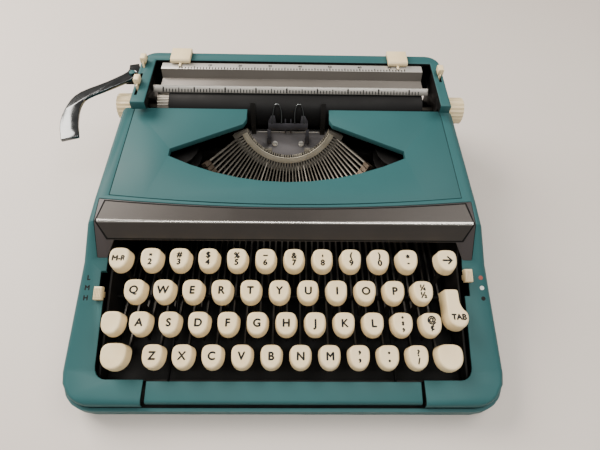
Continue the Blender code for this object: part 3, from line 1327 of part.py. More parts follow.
TEAL = finish_material("teal_enamel", (0.09, 0.21, 0.21), 0.45, 0.0)
BLACK = finish_material("black_steel", (0.03, 0.03, 0.035), 0.5, 0.3)
CREAM = finish_material("cream_plastic", (0.77, 0.71, 0.58), 0.4, 0.0)
GREY = finish_material("grey_trim", (0.15, 0.13, 0.12), 0.35, 0.6)
CHROME = finish_material("bright_chrome", (0.7, 0.7, 0.7), 0.15, 1.0)
STEEL = finish_material("dull_steel", (0.4, 0.38, 0.35), 0.35, 1.0)
RUBBER = finish_material("black_rubber", (0.02, 0.02, 0.02), 0.7, 0.0)

publish("housing", make_housing(), TEAL)
publish("base_pan", make_base_pan(), TEAL)
publish("chassis_frame", make_chassis(), BLACK)
publish("nameplate_panel", panel_solid(0), GREY)
publish("segment", make_segment(), STEEL)
publish("carriage_rail", make_rail(), STEEL)
publish("ribbon_cover", make_ribbon_cover(), TEAL,
        (0, DECK_REAR_Y - COVER_HINGE_INSET, DECK_Z - COVER_THICK))
publish("ribbon_guide", make_ribbon_guide(), STEEL, (0, PRINT_Y, PRINT_Z))
for side_name, side in (("left", -1), ("right", 1)):
    publish("ribbon_spool_" + side_name, make_spool(side), STEEL, (side * SPOOL_X, SPOOL_Y, SHELF_Z))
publish("mainspring_drum", make_drum(), STEEL, (DRUM_X, DRUM_Y, BEAM_LOW_Z))
publish("touch_selector", make_selector(-1, TOUCH_Y), CREAM, (-SELECTOR_X, TOUCH_Y, RAIL_REAR_Z))
publish("color_selector", make_selector(1, COLOR_Y), CREAM, (SELECTOR_X, COLOR_Y, RAIL_REAR_Z))

carriage = bpy.data.objects.new("carriage_middle", None)
machine.objects.link(carriage)
carriage.location = (CARRIAGE_X, 0, 0)
CARRIAGE_PIECES = (
    ("carriage_frame", make_carriage_frame, STEEL, (0, PLATEN_Y, PLATEN_Z)),
    ("carriage_shroud", make_shroud, TEAL, (0, PLATEN_Y, SHROUD_TOP_Z)),
    ("paper_table", make_paper_table, GREY, (0, TABLE_SCALE_Y, TABLE_SCALE_Z)),
    ("platen_roller", make_platen, RUBBER, (0, PLATEN_Y, PLATEN_Z)),
    ("platen_knob_left", lambda: make_knob(-1), CREAM, (0, PLATEN_Y, PLATEN_Z)),
    ("platen_knob_right", lambda: make_knob(1), CREAM, (0, PLATEN_Y, PLATEN_Z)),
    ("paper_bail", make_bail, CHROME, (0, BAIL_PIVOT_Y, BAIL_PIVOT_Z)),
    ("margin_stop_left", lambda: make_stop(STOP_LEFT_X), CREAM, (STOP_LEFT_X, STOP_FRONT_Y, STOP_TOP_Z)),
    ("margin_stop_right", lambda: make_stop(STOP_RIGHT_X), CREAM,
     (STOP_RIGHT_X, STOP_FRONT_Y, STOP_TOP_Z)),
    ("return_lever", make_return_lever, CHROME, (RETURN_PIVOT_X, RETURN_PIVOT_Y, RETURN_Z)),
    ("line_space_lever", lambda: arm_lever(-1, (PLATEN_Y, PLATEN_Z), PLATEN_Y, SHAFT_RADIUS + GAP),
     CREAM, (0, PLATEN_Y, PLATEN_Z)),
    ("carriage_release_lever",
     lambda: arm_lever(-1, (BAIL_PIVOT_Y, BAIL_PIVOT_Z), RELEASE_Y, PIN_RADIUS + GAP),
     CREAM, (0, BAIL_PIVOT_Y, BAIL_PIVOT_Z)),
    ("paper_release_lever",
     lambda: arm_lever(1, (BAIL_PIVOT_Y, BAIL_PIVOT_Z), PAPER_RELEASE_Y, PIN_RADIUS + GAP),
     CREAM, (0, BAIL_PIVOT_Y, BAIL_PIVOT_Z)),
)
for name, make, surface, pivot in CARRIAGE_PIECES:
    piece = make()
    piece.data.transform(Matrix.Translation(carriage.location))
    publish(name, piece, surface, Vector(pivot) + carriage.location, carriage)

FULCRUM = (0, LEVER_REAR_Y, LEVER_REAR_Z)
LETTER_ROWS = (("zxcvbnm", 0, -4.4), ("asdfghjkl", 1, -4.9), ("qwertyuiop", 2, -5.15))
for letters, row, first_share in LETTER_ROWS:
    for index, letter in enumerate(letters):
        publish("key_" + letter, make_key(first_share + index, row), CREAM, FULCRUM)
FIGURE_FIRST_SHARE = -4.65
FIGURE_SHARES = [(FIGURE_FIRST_SHARE + index, 3) for index in range(10)]
FIGURE_SHARES += [(4.6, 0), (4.1, 1), (5.1, 1), (4.85, 2)]
publish("figure_keys", make_figure_keys(), CREAM, FULCRUM)
publish("key_comma", make_key(2.6, 0), CREAM, FULCRUM)
publish("key_period", make_key(3.6, 0), CREAM, FULCRUM)
publish("margin_release_key", make_key(-EDGE_PITCHES_SHARE, 3), CREAM, FULCRUM)
publish("backspace_key", make_key(EDGE_PITCHES_SHARE, 3), CREAM, FULCRUM)
publish("tab_key", make_key(TAB_PITCHES_SHARE, TAB_ROW_SHARE, TAB_CAP_WIDTH, TAB_CAP_LENGTH,
                            TAB_CAP_HEIGHT), CREAM, FULCRUM)
publish("shift_keys", make_shift_keys(), CREAM, (0, SHIFT_ROD_Y, SHIFT_ROD_Z))
publish("space_bar", make_space_bar(), TEAL, (0, SPACE_ROD_Y, SPACE_ROD_Z))
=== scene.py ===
import json
import math

import bmesh
import bpy
from mathutils import Matrix, Vector
from mathutils.bvhtree import BVHTree

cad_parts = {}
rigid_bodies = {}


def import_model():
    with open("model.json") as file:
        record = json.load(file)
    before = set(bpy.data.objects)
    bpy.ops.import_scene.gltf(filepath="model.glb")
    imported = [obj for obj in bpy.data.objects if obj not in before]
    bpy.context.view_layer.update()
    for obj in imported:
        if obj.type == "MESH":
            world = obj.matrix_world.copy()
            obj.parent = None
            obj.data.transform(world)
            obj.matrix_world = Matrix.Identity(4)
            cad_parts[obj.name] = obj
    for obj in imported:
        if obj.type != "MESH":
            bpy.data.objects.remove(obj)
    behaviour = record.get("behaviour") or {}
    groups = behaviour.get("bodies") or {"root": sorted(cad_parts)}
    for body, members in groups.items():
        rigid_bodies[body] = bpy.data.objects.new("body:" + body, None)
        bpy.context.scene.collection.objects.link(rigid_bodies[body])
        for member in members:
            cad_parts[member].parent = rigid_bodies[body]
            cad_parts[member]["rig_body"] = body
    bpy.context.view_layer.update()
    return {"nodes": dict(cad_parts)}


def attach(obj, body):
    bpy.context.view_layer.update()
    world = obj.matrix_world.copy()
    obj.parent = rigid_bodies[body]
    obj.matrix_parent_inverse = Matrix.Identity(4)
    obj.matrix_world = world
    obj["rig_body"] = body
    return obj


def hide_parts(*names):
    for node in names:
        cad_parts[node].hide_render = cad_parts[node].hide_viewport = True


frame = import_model()
nodes = frame["nodes"]
mm = 0.001
print("frame loaded:", len(nodes), "solids")

# Camera, at the photograph's viewing angle

camera = {
    "place": (0.00454, -0.1957, 0.3167),  # m
    "pitch": 56.425,  # degrees
    "yaw": 1.721,
    "roll": 1.931,
    "focalPixels": 440,
    "imageWidth": 600,
    "sensor": 36,
    "clipStart": 10 * mm,
}


def makeCamera(look):
    pitch, yaw, roll = (math.radians(look[name]) for name in ("pitch", "yaw", "roll"))
    ahead = Vector((math.sin(yaw) * math.cos(pitch), math.cos(yaw) * math.cos(pitch), -math.sin(pitch)))
    right = Vector((math.cos(yaw), -math.sin(yaw), 0))
    up = right.cross(ahead)
    across = math.cos(roll) * right + math.sin(roll) * up
    above = math.cos(roll) * up - math.sin(roll) * right
    lens = bpy.data.cameras.new("camera")
    lens.sensor_width = look["sensor"]
    lens.lens = look["focalPixels"] * look["sensor"] / look["imageWidth"]
    lens.clip_start = look["clipStart"]
    eye = bpy.data.objects.new("camera", lens)
    bpy.context.scene.collection.objects.link(eye)
    turn = Matrix((across, above, -ahead)).transposed().to_4x4()
    eye.matrix_world = Matrix.Translation(look["place"]) @ turn
    bpy.context.scene.camera = eye


makeCamera(camera)

# Finishes


def linear(hexColor):
    # From sRGB, with full alpha
    shares = [int(hexColor[start:start + 2], 16) / 255 for start in (1, 3, 5)]
    bent = [share / 12.92 if share <= 0.04045 else ((share + 0.055) / 1.055) ** 2.4 for share in shares]
    return (*bent, 1)


def addNode(tree, kind, settings=None, inputs=None):
    node = tree.nodes.new(kind)
    for name, value in (settings or {}).items():
        setattr(node, name, value)
    for socket, value in (inputs or {}).items():
        if isinstance(value, bpy.types.NodeSocket):
            tree.links.new(value, node.inputs[socket])
        else:
            node.inputs[socket].default_value = value
    return node


plainLook = {
    "colors": ("#808080", "#8A8A8A"),  # the two ends of the slow colour drift
    "driftMm": 40,  # size of the drift's clouds
    "grainMm": 0.6,  # size of the surface's grain
    "stretch": (1, 1, 1),  # below 1 draws the grain out that way
    "bumpMm": 0.01,  # height of the grain
    "roughness": (0.4, 0.5),
    "metallic": 0.0,
    "ior": 1.5,
    "dust": 0.0,  # painted shade: how much the corners and gaps darken
    "speck": 0.0,  # how much the grain shows in the colour
    "dustMm": 4,  # how far a corner reaches
    "openness": (0.2, 0.9),  # occlusion where the painted shade is darkest, and where it ends
    "driftSpan": (0.3, 0.7),  # the part of the drift that changes the roughness
    "noises": ((5, 0.6), (3, 0.55)),  # detail and roughness of the drift and of the grain
}


def makeFinish(name, **changes):
    look = {**plainLook, **changes}
    surface = bpy.data.materials.new(name)
    surface.use_nodes = True
    tree = surface.node_tree
    tree.nodes.clear()
    place = addNode(tree, "ShaderNodeTexCoord").outputs["Object"]
    spread = addNode(tree, "ShaderNodeMapping", {}, {"Vector": place, "Scale": look["stretch"]})
    drift, grain = [addNode(tree, "ShaderNodeTexNoise", {}, {
        "Vector": vector, "Scale": 1 / (size * mm), "Detail": detail, "Roughness": rough}).outputs["Fac"]
        for vector, size, (detail, rough) in zip((place, spread.outputs["Vector"]),
                                                 (look["driftMm"], look["grainMm"]), look["noises"])]
    first, second = (linear(color) for color in look["colors"])
    share = addNode(tree, "ShaderNodeMath", {"operation": "MULTIPLY_ADD", "use_clamp": True}, {
        0: grain, 1: look["speck"], 2: drift})
    tint = addNode(tree, "ShaderNodeMix", {"data_type": "RGBA"}, {0: share.outputs[0], 6: first, 7: second})
    color = tint.outputs[2]
    # Painted shade: the colour darkens where ambient occlusion finds surfaces close by, in corners and gaps
    if look["dust"]:
        corner = addNode(tree, "ShaderNodeAmbientOcclusion", {"samples": 4}, {
            "Distance": look["dustMm"] * mm})
        shade = addNode(tree, "ShaderNodeMapRange", {}, {
            "Value": corner.outputs["AO"], "From Min": look["openness"][0], "From Max": look["openness"][1],
            "To Min": 1 - look["dust"], "To Max": 1})
        dark = addNode(tree, "ShaderNodeMix", {"data_type": "RGBA", "blend_type": "MULTIPLY"}, {
            0: 1.0, 6: color, 7: shade.outputs["Result"]})
        color = dark.outputs[2]
    dull = addNode(tree, "ShaderNodeMapRange", {}, {
        "Value": drift, "From Min": look["driftSpan"][0], "From Max": look["driftSpan"][1],
        "To Min": look["roughness"][0], "To Max": look["roughness"][1]})
    bump = addNode(tree, "ShaderNodeBump", {}, {
        "Height": grain, "Distance": look["bumpMm"] * mm})
    shader = addNode(tree, "ShaderNodeBsdfPrincipled", {}, {
        "Base Color": color, "Roughness": dull.outputs["Result"], "Normal": bump.outputs["Normal"],
        "Metallic": look["metallic"]})
    if not look["metallic"]:
        shader.inputs["IOR"].default_value = look["ior"]
    addNode(tree, "ShaderNodeOutputMaterial", {}, {"Surface": shader.outputs[0]})
    return surface


# Stoved enamel on pressed steel: a satin skin with faint orange peel about 1.5 mm across
tealEnamel = makeFinish(
    "stoved_enamel_teal", colors=("#2A5558", "#316063"), driftMm=70, grainMm=1.5, roughness=(0.5, 0.6),
    ior=1.34, dust=0.3)
# Moulded ABS, aged: cream that yellows in patches, with a soft gloss from handling
creamAbs = makeFinish(
    "moulded_abs_cream", colors=("#EFD5A3", "#FDECC2"), driftMm=14, grainMm=0.5, bumpMm=0.004,
    roughness=(0.28, 0.42), ior=1.53, dust=0.35)
# Second shot of the moulding, or filled engraving: near black and a little glossy
blackInk = makeFinish(
    "filled_lettering_black", colors=("#050505", "#0C0C0C"), ior=1.3, driftMm=2, roughness=(0.4, 0.55))
# Brushed aluminium under grey lacquer: fine lines along X
brushedBand = makeFinish(
    "brushed_aluminium_lacquered", colors=("#322F2D", "#433F3C"), driftMm=60, grainMm=0.35,
    stretch=(0.02, 1, 1), bumpMm=0.0015, roughness=(0.33, 0.4), metallic=0.35, speck=0.25)
# Vacuum formed ABS painted grey: even and satin, close to the band in tone
greyTrim = makeFinish(
    "painted_abs_grey", colors=("#383435", "#433E3F"), grainMm=0.8, bumpMm=0.006, roughness=(0.42, 0.52),
    dust=0.3)
# Nickel and chromium plate on steel: mirror with faint buffing haze
chromePlate = makeFinish(
    "chromium_plate_buffed", colors=("#595C5E", "#707375"), driftMm=12, grainMm=0.4, bumpMm=0.0015,
    roughness=(0.08, 0.2), metallic=1.0)
# Zinc plated steel, rolled: dull grey with a sheen along the rolling
dullSteel = makeFinish(
    "zinc_plated_steel", colors=("#7F7A72", "#9B968C"), driftMm=8, grainMm=0.3, stretch=(1, 0.1, 1),
    bumpMm=0.004, roughness=(0.3, 0.5), metallic=1.0, dust=0.5)
# Case hardened tool steel, oiled: darker and warmer where the oil has dried. It is the painted lit side of
# the type bars
litBarSteel = makeFinish(
    "hardened_steel_painted_lit", colors=("#77736B", "#98938A"), driftMm=5, grainMm=0.25, bumpMm=0.003,
    roughness=(0.45, 0.6), metallic=0.6, dust=0.4)
# Phosphated steel, black: dry, with faint brown where it has rubbed. On the type bars' other faces it is
# painted shade
blackSteelAndBarShade = makeFinish(
    "phosphated_steel_black_and_bar_shade", colors=("#1B1A1A", "#2C2A29"), driftMm=20, grainMm=0.4, bumpMm=0.006,
    roughness=(0.45, 0.62), metallic=0.6, dust=0.3)
# Ground vulcanised rubber: matt black with fine turning marks
blackRubber = makeFinish(
    "vulcanised_rubber_ground", colors=("#0B0B0C", "#131314"), ior=1.3, driftMm=25, grainMm=0.5,
    stretch=(1, 0.15, 0.15), roughness=(0.5, 0.68))
# Lacquered steel sheet, warm grey: smooth satin
greyLacquer = makeFinish(
    "lacquered_steel_warm_grey", colors=("#67625D", "#746F69"), driftMm=50, grainMm=0.8, bumpMm=0.005,
    roughness=(0.32, 0.42), metallic=0.3, dust=0.3)
# Anodised aluminium scale: pale satin, lines along its length
paleScale = makeFinish(
    "anodised_aluminium_scale", colors=("#7E7B77", "#98958F"), driftMm=30, grainMm=0.3,
    stretch=(0.03, 1, 1), bumpMm=0.004, roughness=(0.3, 0.4), metallic=0.7)
# The same in clear anodising: nearly white beside the black ticks
clearScale = makeFinish(
    "anodised_aluminium_clear", colors=("#B4B1AC", "#CCC9C4"), driftMm=30, grainMm=0.3,
    stretch=(0.03, 1, 1), bumpMm=0.004, roughness=(0.3, 0.4), metallic=0.4)
redPaint = makeFinish("stoved_enamel_red", colors=("#86392E", "#95463A"), driftMm=2)  # filled dot, soft gloss
whitePaint = makeFinish("stoved_enamel_white", colors=("#D9DCD8", "#E8EAE6"), driftMm=2)  # filled dot
# Black primer inside the shell: matt, dusty. The same black is also painted shade: on walls that face their
# own solid across gaps and wells, inside the pan, on the shroud's inner walls and behind the space bar's
# front
primerAndShade = makeFinish(
    "primer_black_dusty", colors=("#060606", "#0C0C0C"), ior=1.3, driftMm=30, grainMm=0.8,
    roughness=(0.6, 0.8))
# Nickel plated segment: pale, with a tan film of old oil
combSteel = makeFinish(
    "nickel_plate_oil_filmed", colors=("#9F9784", "#C6BFAE"), driftMm=6, grainMm=0.3, bumpMm=0.004,
    roughness=(0.38, 0.5), metallic=0.5, dust=0.45, speck=0.3)
# Pale, bright nickel plate on the screw heads; on the plate's upper edge the same colour is a painted
# highlight
nickelAndHighlight = makeFinish(
    "nickel_plate_and_painted_highlight", colors=("#C4C0B9", "#DAD7D1"), driftMm=6, grainMm=0.3, bumpMm=0.002,
    roughness=(0.25, 0.35), metallic=0.5)
# Gun blued plate: dark satin, with a faint blue cast
bluedPlate = makeFinish(
    "gun_blued_plate", colors=("#45444A", "#5E5D63"), driftMm=9, grainMm=0.4, bumpMm=0.003,
    roughness=(0.28, 0.4), metallic=0.9, dust=0.3)
# Oxidised steel plate, bead blasted: flat grey, hardly shines
moonPlate = makeFinish(
    "oxidised_steel_blasted", colors=("#5C595B", "#6C696A"), driftMm=12, grainMm=0.4, bumpMm=0.004,
    roughness=(0.5, 0.6), metallic=0.5, dust=0.3)
# Painted highlight along the fold of the name panel's band: a thin bright line of aluminium from end to end
foldHighlight = makeFinish(
    "aluminium_fold_painted_highlight", colors=("#B5B2AD", "#C9C6C1"), driftMm=30, grainMm=0.35,
    stretch=(0.02, 1, 1), bumpMm=0.001, roughness=(0.2, 0.26), metallic=1.0)
# Type slugs: steel browned by ribbon ink
slugSteel = makeFinish(
    "type_metal_inked", colors=("#4A3D33", "#8D7F70"), driftMm=1.5, grainMm=0.3, roughness=(0.25, 0.45),
    metallic=0.9)
print("finishes made")

# Making meshes

meshing = {
    "weld": 1e-6,  # m
    "flat": 0.5,  # degrees between triangles that are one face
    "edgeSteps": 2,  # segments of a softened edge
}


def objectFrom(name, form):
    mesh = bpy.data.meshes.new(name)
    form.to_mesh(mesh)
    form.free()
    piece = bpy.data.objects.new(name, mesh)
    bpy.context.scene.collection.objects.link(piece)
    return piece


def settledMesh(piece):
    bpy.context.view_layer.update()
    return bpy.data.meshes.new_from_object(piece.evaluated_get(bpy.context.evaluated_depsgraph_get()))


def settle(piece):
    mesh = settledMesh(piece)
    piece.modifiers.clear()
    piece.data = mesh
    return piece


def soften(piece, width, angle=30, most=180, chosen=None):
    # Rounds the edges that turn by more degrees than angle, and by no more than most
    form = bmesh.new()
    form.from_mesh(piece.data)
    weight = form.edges.layers.float.new("bevel_weight_edge")
    for edge in form.edges:
        turn = math.degrees(edge.calc_face_angle()) if edge.is_manifold else 0
        middle = (edge.verts[0].co + edge.verts[1].co) / 2
        edge[weight] = float(angle < turn <= most and (chosen is None or chosen(middle / mm)))
    form.to_mesh(piece.data)
    form.free()
    bevel = piece.modifiers.new("Edges", "BEVEL")
    bevel.width = width * mm
    bevel.segments = meshing["edgeSteps"]
    bevel.limit_method = "WEIGHT"
    bevel.use_clamp_overlap = False
    bevel.miter_outer = "MITER_ARC"
    return settle(piece)


def smooth(piece, angle=38):
    piece.data.shade_smooth()
    piece.data.set_sharp_from_angle(angle=math.radians(angle))
    return piece


def dress(piece, finishes, body, slotName, *replaced):
    for finish in finishes:
        piece.data.materials.append(finish)
    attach(piece, body)
    if replaced:
        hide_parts(*replaced)
    return piece


def bodyOf(node):
    return nodes[node]["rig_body"]


def copyOf(node, name):
    form = bmesh.new()
    form.from_mesh(nodes[node].data)
    bmesh.ops.remove_doubles(form, verts=form.verts, dist=meshing["weld"])
    flat = math.radians(meshing["flat"])
    bmesh.ops.dissolve_limit(form, angle_limit=flat, verts=form.verts, edges=form.edges)
    for face in form.faces:
        face.material_index = 0
    return objectFrom(name, form)


# Edges: the pan's corners are rounded, and the platen's notches in the housing's side walls stay sharp

panCorners = {
    "x": 120.0,  # mm, where the rounded corners start
    "front": -114.0,
    "rear": 121.0,
    "width": 1.3,
    "turns": (8, 30),  # degrees between the facets that are rounded
}
wallNotch = {"x": 128.0, "y": 97.6, "reach": 24.0}  # mm


def inPanCorner(spot):
    return abs(spot.x) > panCorners["x"] and not panCorners["front"] < spot.y < panCorners["rear"]


def clearOfNotch(spot):
    return abs(spot.x) < wallNotch["x"] or abs(spot.y - wallNotch["y"]) > wallNotch["reach"]


def refined(node, finish, slotName, width=0.3, others=(), choose=None):
    piece = copyOf(node, node + "_dressed")
    if node == "base_pan":
        soften(piece, panCorners["width"], *panCorners["turns"], chosen=inPanCorner)
    if width:
        soften(piece, width, chosen=clearOfNotch if node == "housing" else None)
    if choose:
        test = choose(piece.data)
        for face in piece.data.polygons:
            face.material_index = test(face.center / mm, face.normal)
    smooth(piece)
    return dress(piece, [finish, *others], bodyOf(node), slotName, node)


# Where a solid changes its finish: each function takes the mesh and gives a test of a face

finishEdges = {  # mm
    "sole": -0.05,
    "panInside": (145.5, -137.5, 135.5, 11.0),  # half width, front, rear and top
    "shroudMiddle": (2.5, 108.0),
    "scale": 79.2,
    "rollerEnds": (-98.6, 111.6),
    "spaceFront": -121.5,
}
rising = {"inside": 0.3, "rim": 0.4, "level": 0.9}  # upward shares of a normal
sight = {"start": 0.3, "reach": 280}  # mm


def treeOf(mesh):
    spots = [spot.co for spot in mesh.vertices]
    return BVHTree.FromPolygons(spots, [face.vertices for face in mesh.polygons])


def seesItself(mesh):
    # A face that looks at another face of its own solid is an inner one, and takes the black: primer inside
    # the shell, and painted shade on the walls of gaps and wells
    tree = treeOf(mesh)

    def place(center, normal):
        start = (center + normal * sight["start"]) * mm
        return int(tree.ray_cast(start, normal, sight["reach"] * mm)[0] is not None)
    return place


def panPlaces(mesh):
    inner = seesItself(mesh)
    halfWidth, front, rear, top = finishEdges["panInside"]

    # Painted shade: inside the pan, faces that look up or at the pan itself are black
    def place(center, normal):
        if center.z < finishEdges["sole"]:
            return 2
        within = center.z < top and abs(center.x) < halfWidth and front < center.y < rear
        return int(within and (normal.z > rising["inside"] or inner(center, normal)))
    return place


def shroudPlaces(mesh):
    # Painted shade: black where a wall faces the carriage's middle
    x, y = finishEdges["shroudMiddle"]
    return lambda center, normal: int(
        normal.z < rising["rim"] and normal.x * (center.x - x) + normal.y * (center.y - y) < 0)


def tablePlaces(mesh):
    return lambda center, normal: int(normal.z > rising["level"] and center.z > finishEdges["scale"])


def rollerPlaces(mesh):
    left, right = finishEdges["rollerEnds"]
    return lambda center, normal: int(not left <= center.x <= right)


def spacePlaces(mesh):
    # Painted shade: the bar is black behind its front, where it runs under the housing's rim
    return lambda center, normal: int(center.y > finishEdges["spaceFront"])


basket = {
    "print": (0, 83.7, 63.9),  # mm, where the type strikes
    "tilt": 60,
    "pivotRing": 46.0,
    "comb": (36.5, 41.8, 3.7),  # radii and half thickness
    "moon": (38.6, -5.0, -2.2),  # radius, and its place across the basket
    "fingers": (29.0, 2.5, -18.0),  # place, half width and lower end
    "slug": 40.0,  # distance from a bar's pivot
    "lit": (0.45, 0.6),  # share of a bar's normal that is upward, or out of the basket, beyond which its face is painted lit
}
basketFrame = (Matrix.Translation(Vector(basket["print"]) * mm)
               @ Matrix.Rotation(math.radians(basket["tilt"]), 4, "X"))


def basketPlaces(mesh):
    back = basketFrame.inverted()
    turn = back.to_3x3()
    fingerMiddle, fingerHalf, fingerLow = basket["fingers"]
    moonRadius, moonBack, moonFront = basket["moon"]
    inner, outer, thick = basket["comb"]
    upward, outward = basket["lit"]

    def place(center, normal):
        across, along, depth = (back @ (center * mm)) / mm
        radius = math.hypot(across, along)
        if abs(abs(across) - fingerMiddle) < fingerHalf and along > fingerLow:
            return 1
        if radius < moonRadius and moonBack < depth < moonFront:
            return 2
        if inner < radius < outer and abs(depth) < thick:
            return 0
        if math.hypot(radius - basket["pivotRing"], depth) > basket["slug"]:
            return 4
        # Painted light on the type bars: faces that look up or out of the basket take the lighter steel, the
        # others black steel as their shade
        return 5 if normal.z > upward or (turn @ normal).z > outward else 1
    return place


# Solids that keep their CAD shape: finish, slot, soft edges in mm, more finishes and the test for them

carriedOver = {
    "housing": (tealEnamel, "teal_enamel", 0.35, (primerAndShade,), seesItself),
    "base_pan": (tealEnamel, "teal_enamel", 0.4, (primerAndShade, blackRubber), panPlaces),
    "ribbon_cover": (tealEnamel, "teal_enamel", 0.3),
    "carriage_shroud": (tealEnamel, "teal_enamel", 0.2, (primerAndShade,), shroudPlaces),
    "space_bar": (tealEnamel, "teal_enamel", 0.3, (primerAndShade,), spacePlaces),
    "chassis_frame": (blackSteelAndBarShade, "black_steel", 0.2),
    "segment": (combSteel, "dull_steel", 0,
                (blackSteelAndBarShade, moonPlate, dullSteel, slugSteel, litBarSteel), basketPlaces),
    "carriage_rail": (dullSteel, "dull_steel", 0.2),
    "ribbon_spool_left": (blackSteelAndBarShade, "dull_steel", 0.15),
    "ribbon_spool_right": (blackSteelAndBarShade, "dull_steel", 0.15),
    "mainspring_drum": (dullSteel, "dull_steel", 0.15),
    "touch_selector": (creamAbs, "cream_plastic", 0.2),
    "color_selector": (creamAbs, "cream_plastic", 0.2),
    "carriage_frame": (blackSteelAndBarShade, "dull_steel", 0.15),
    "paper_table": (greyLacquer, "grey_trim", 0.2, (clearScale,), tablePlaces),
    "platen_roller": (blackRubber, "black_rubber", 0.3, (dullSteel,), rollerPlaces),
    "platen_knob_left": (creamAbs, "cream_plastic", 0.3),
    "platen_knob_right": (creamAbs, "cream_plastic", 0.3),
    "paper_bail": (paleScale, "bright_chrome", 0.15),
    "margin_stop_left": (creamAbs, "cream_plastic", 0.4),
    "margin_stop_right": (creamAbs, "cream_plastic", 0.4),
    "return_lever": (chromePlate, "bright_chrome", 0.6),
    "line_space_lever": (creamAbs, "cream_plastic", 0.2),
    "carriage_release_lever": (creamAbs, "cream_plastic", 0.2),
    "paper_release_lever": (creamAbs, "cream_plastic", 0.2),
}
for node, setting in carriedOver.items():
    refined(node, *setting)
print("carried over:", len(carriedOver), "solids")

# Name panel: a grey moulding with a brushed band laid in it, folded along the crease

namePanel = {
    "crease": (-26.7, 65.0),  # mm, y and z
    "upward": (0.994, 0.106),  # directions of the two faces in y and z
    "downward": (-0.677, -0.736),
    "fold": 2.6,  # radius of the crease
    "halfWidths": (126.6, 130.0, 123.0),  # at the top edge, the crease and the lower edge
    "top": (10.0, 6.0, 131.5),  # reach of the top edge in the middle, what its ends add, and their x
    "bottom": 12.0,
    "line": 1.1,  # width of the dark line round the band
    "lifts": (0.16, 0.36),
    "under": -0.4,
    "columns": 64,
    "rows": (0.02, 0.04, 0.06, 0.08, 0.15, 0.25, 0.4, 0.6, 0.8, 1),  # shares of the way to an edge
    "creaseRow": 0.0001,
    "highlightRow": 0.09,  # the fold is painted as a highlight up to here
    "edge": 0.3,
}


def panelPoint(look, share, row, grow, lift):
    # row runs from -1 at the lower edge through the fold to 1 at the top edge
    topHalf, creaseHalf, lowHalf = look["halfWidths"]
    half = creaseHalf + ((topHalf - creaseHalf) * row if row > 0 else (creaseHalf - lowHalf) * row)
    x = share * (half + grow)
    up, down = Vector((0, *look["upward"])), Vector((0, *look["downward"]))
    turn = (-down).angle(up)
    tangent = look["fold"] * math.tan(turn / 2)
    middleReach, endReach, end = look["top"]
    reach = middleReach + endReach * min(abs(x) / end, 1) ** 2 if row > 0 else look["bottom"]
    along = abs(row) * (reach + grow)
    side, other = (up, down) if row > 0 else (down, up)
    normal = Vector((0, -side.z, side.y)) if row > 0 else Vector((0, side.z, -side.y))
    crease = Vector((x, *look["crease"]))
    spot = crease + side * along
    if along < tangent:
        inward = (side + other).normalized()
        hub = crease + inward * (look["fold"] / math.cos(turn / 2))
        angle = turn / 2 * along / tangent
        normal = (-inward + (side - inward * side.dot(inward)).normalized() * math.tan(angle)).normalized()
        spot = hub + normal * look["fold"]
    return (spot + normal * lift) * mm


def addBand(form, look, grow, lift, finishIndex, highlightIndex):
    rows = [-row for row in reversed(look["rows"])] + [look["creaseRow"], *look["rows"]]
    sheets = []
    for height in (lift, look["under"]):
        sheets.append([[form.verts.new(panelPoint(look, 2 * column / look["columns"] - 1, row, grow, height))
                        for column in range(look["columns"] + 1)] for row in rows])
    made = []
    for sheet in sheets:
        for step, (low, high) in enumerate(zip(sheet, sheet[1:])):
            highlighted = max(abs(rows[step]), abs(rows[step + 1])) < look["highlightRow"]
            for column in range(look["columns"]):
                spots = [low[column], low[column + 1], high[column + 1], high[column]]
                made.append(form.faces.new(spots if sheet is sheets[0] else spots[::-1]))
                made[-1].material_index = highlightIndex if highlighted else finishIndex
    rims = [sheet[0] + [line[-1] for line in sheet[1:]] + sheet[-1][-2::-1]
            + [line[0] for line in sheet[-2:0:-1]] for sheet in sheets]
    for index in range(len(rims[0])):
        after = (index + 1) % len(rims[0])
        made.append(form.faces.new((rims[1][index], rims[1][after], rims[0][after], rims[0][index])))
        made[-1].material_index = finishIndex
    bmesh.ops.recalc_face_normals(form, faces=made)


piece = soften(copyOf("nameplate_panel", "nameplate_panel_dressed"), namePanel["edge"])
form = bmesh.new()
form.from_mesh(piece.data)
addBand(form, namePanel, namePanel["line"], namePanel["lifts"][0], 1, 1)
# The band's fold faces take the painted highlight
addBand(form, namePanel, 0, namePanel["lifts"][1], 2, 3)
form.to_mesh(piece.data)
form.free()
dress(smooth(piece, 30), [greyTrim, primerAndShade, brushedBand, foldHighlight], bodyOf("nameplate_panel"),
      "grey_trim", "nameplate_panel")
print("name panel made")

# Keyboard: moulded caps on flat steel levers, one piece for each CAD node

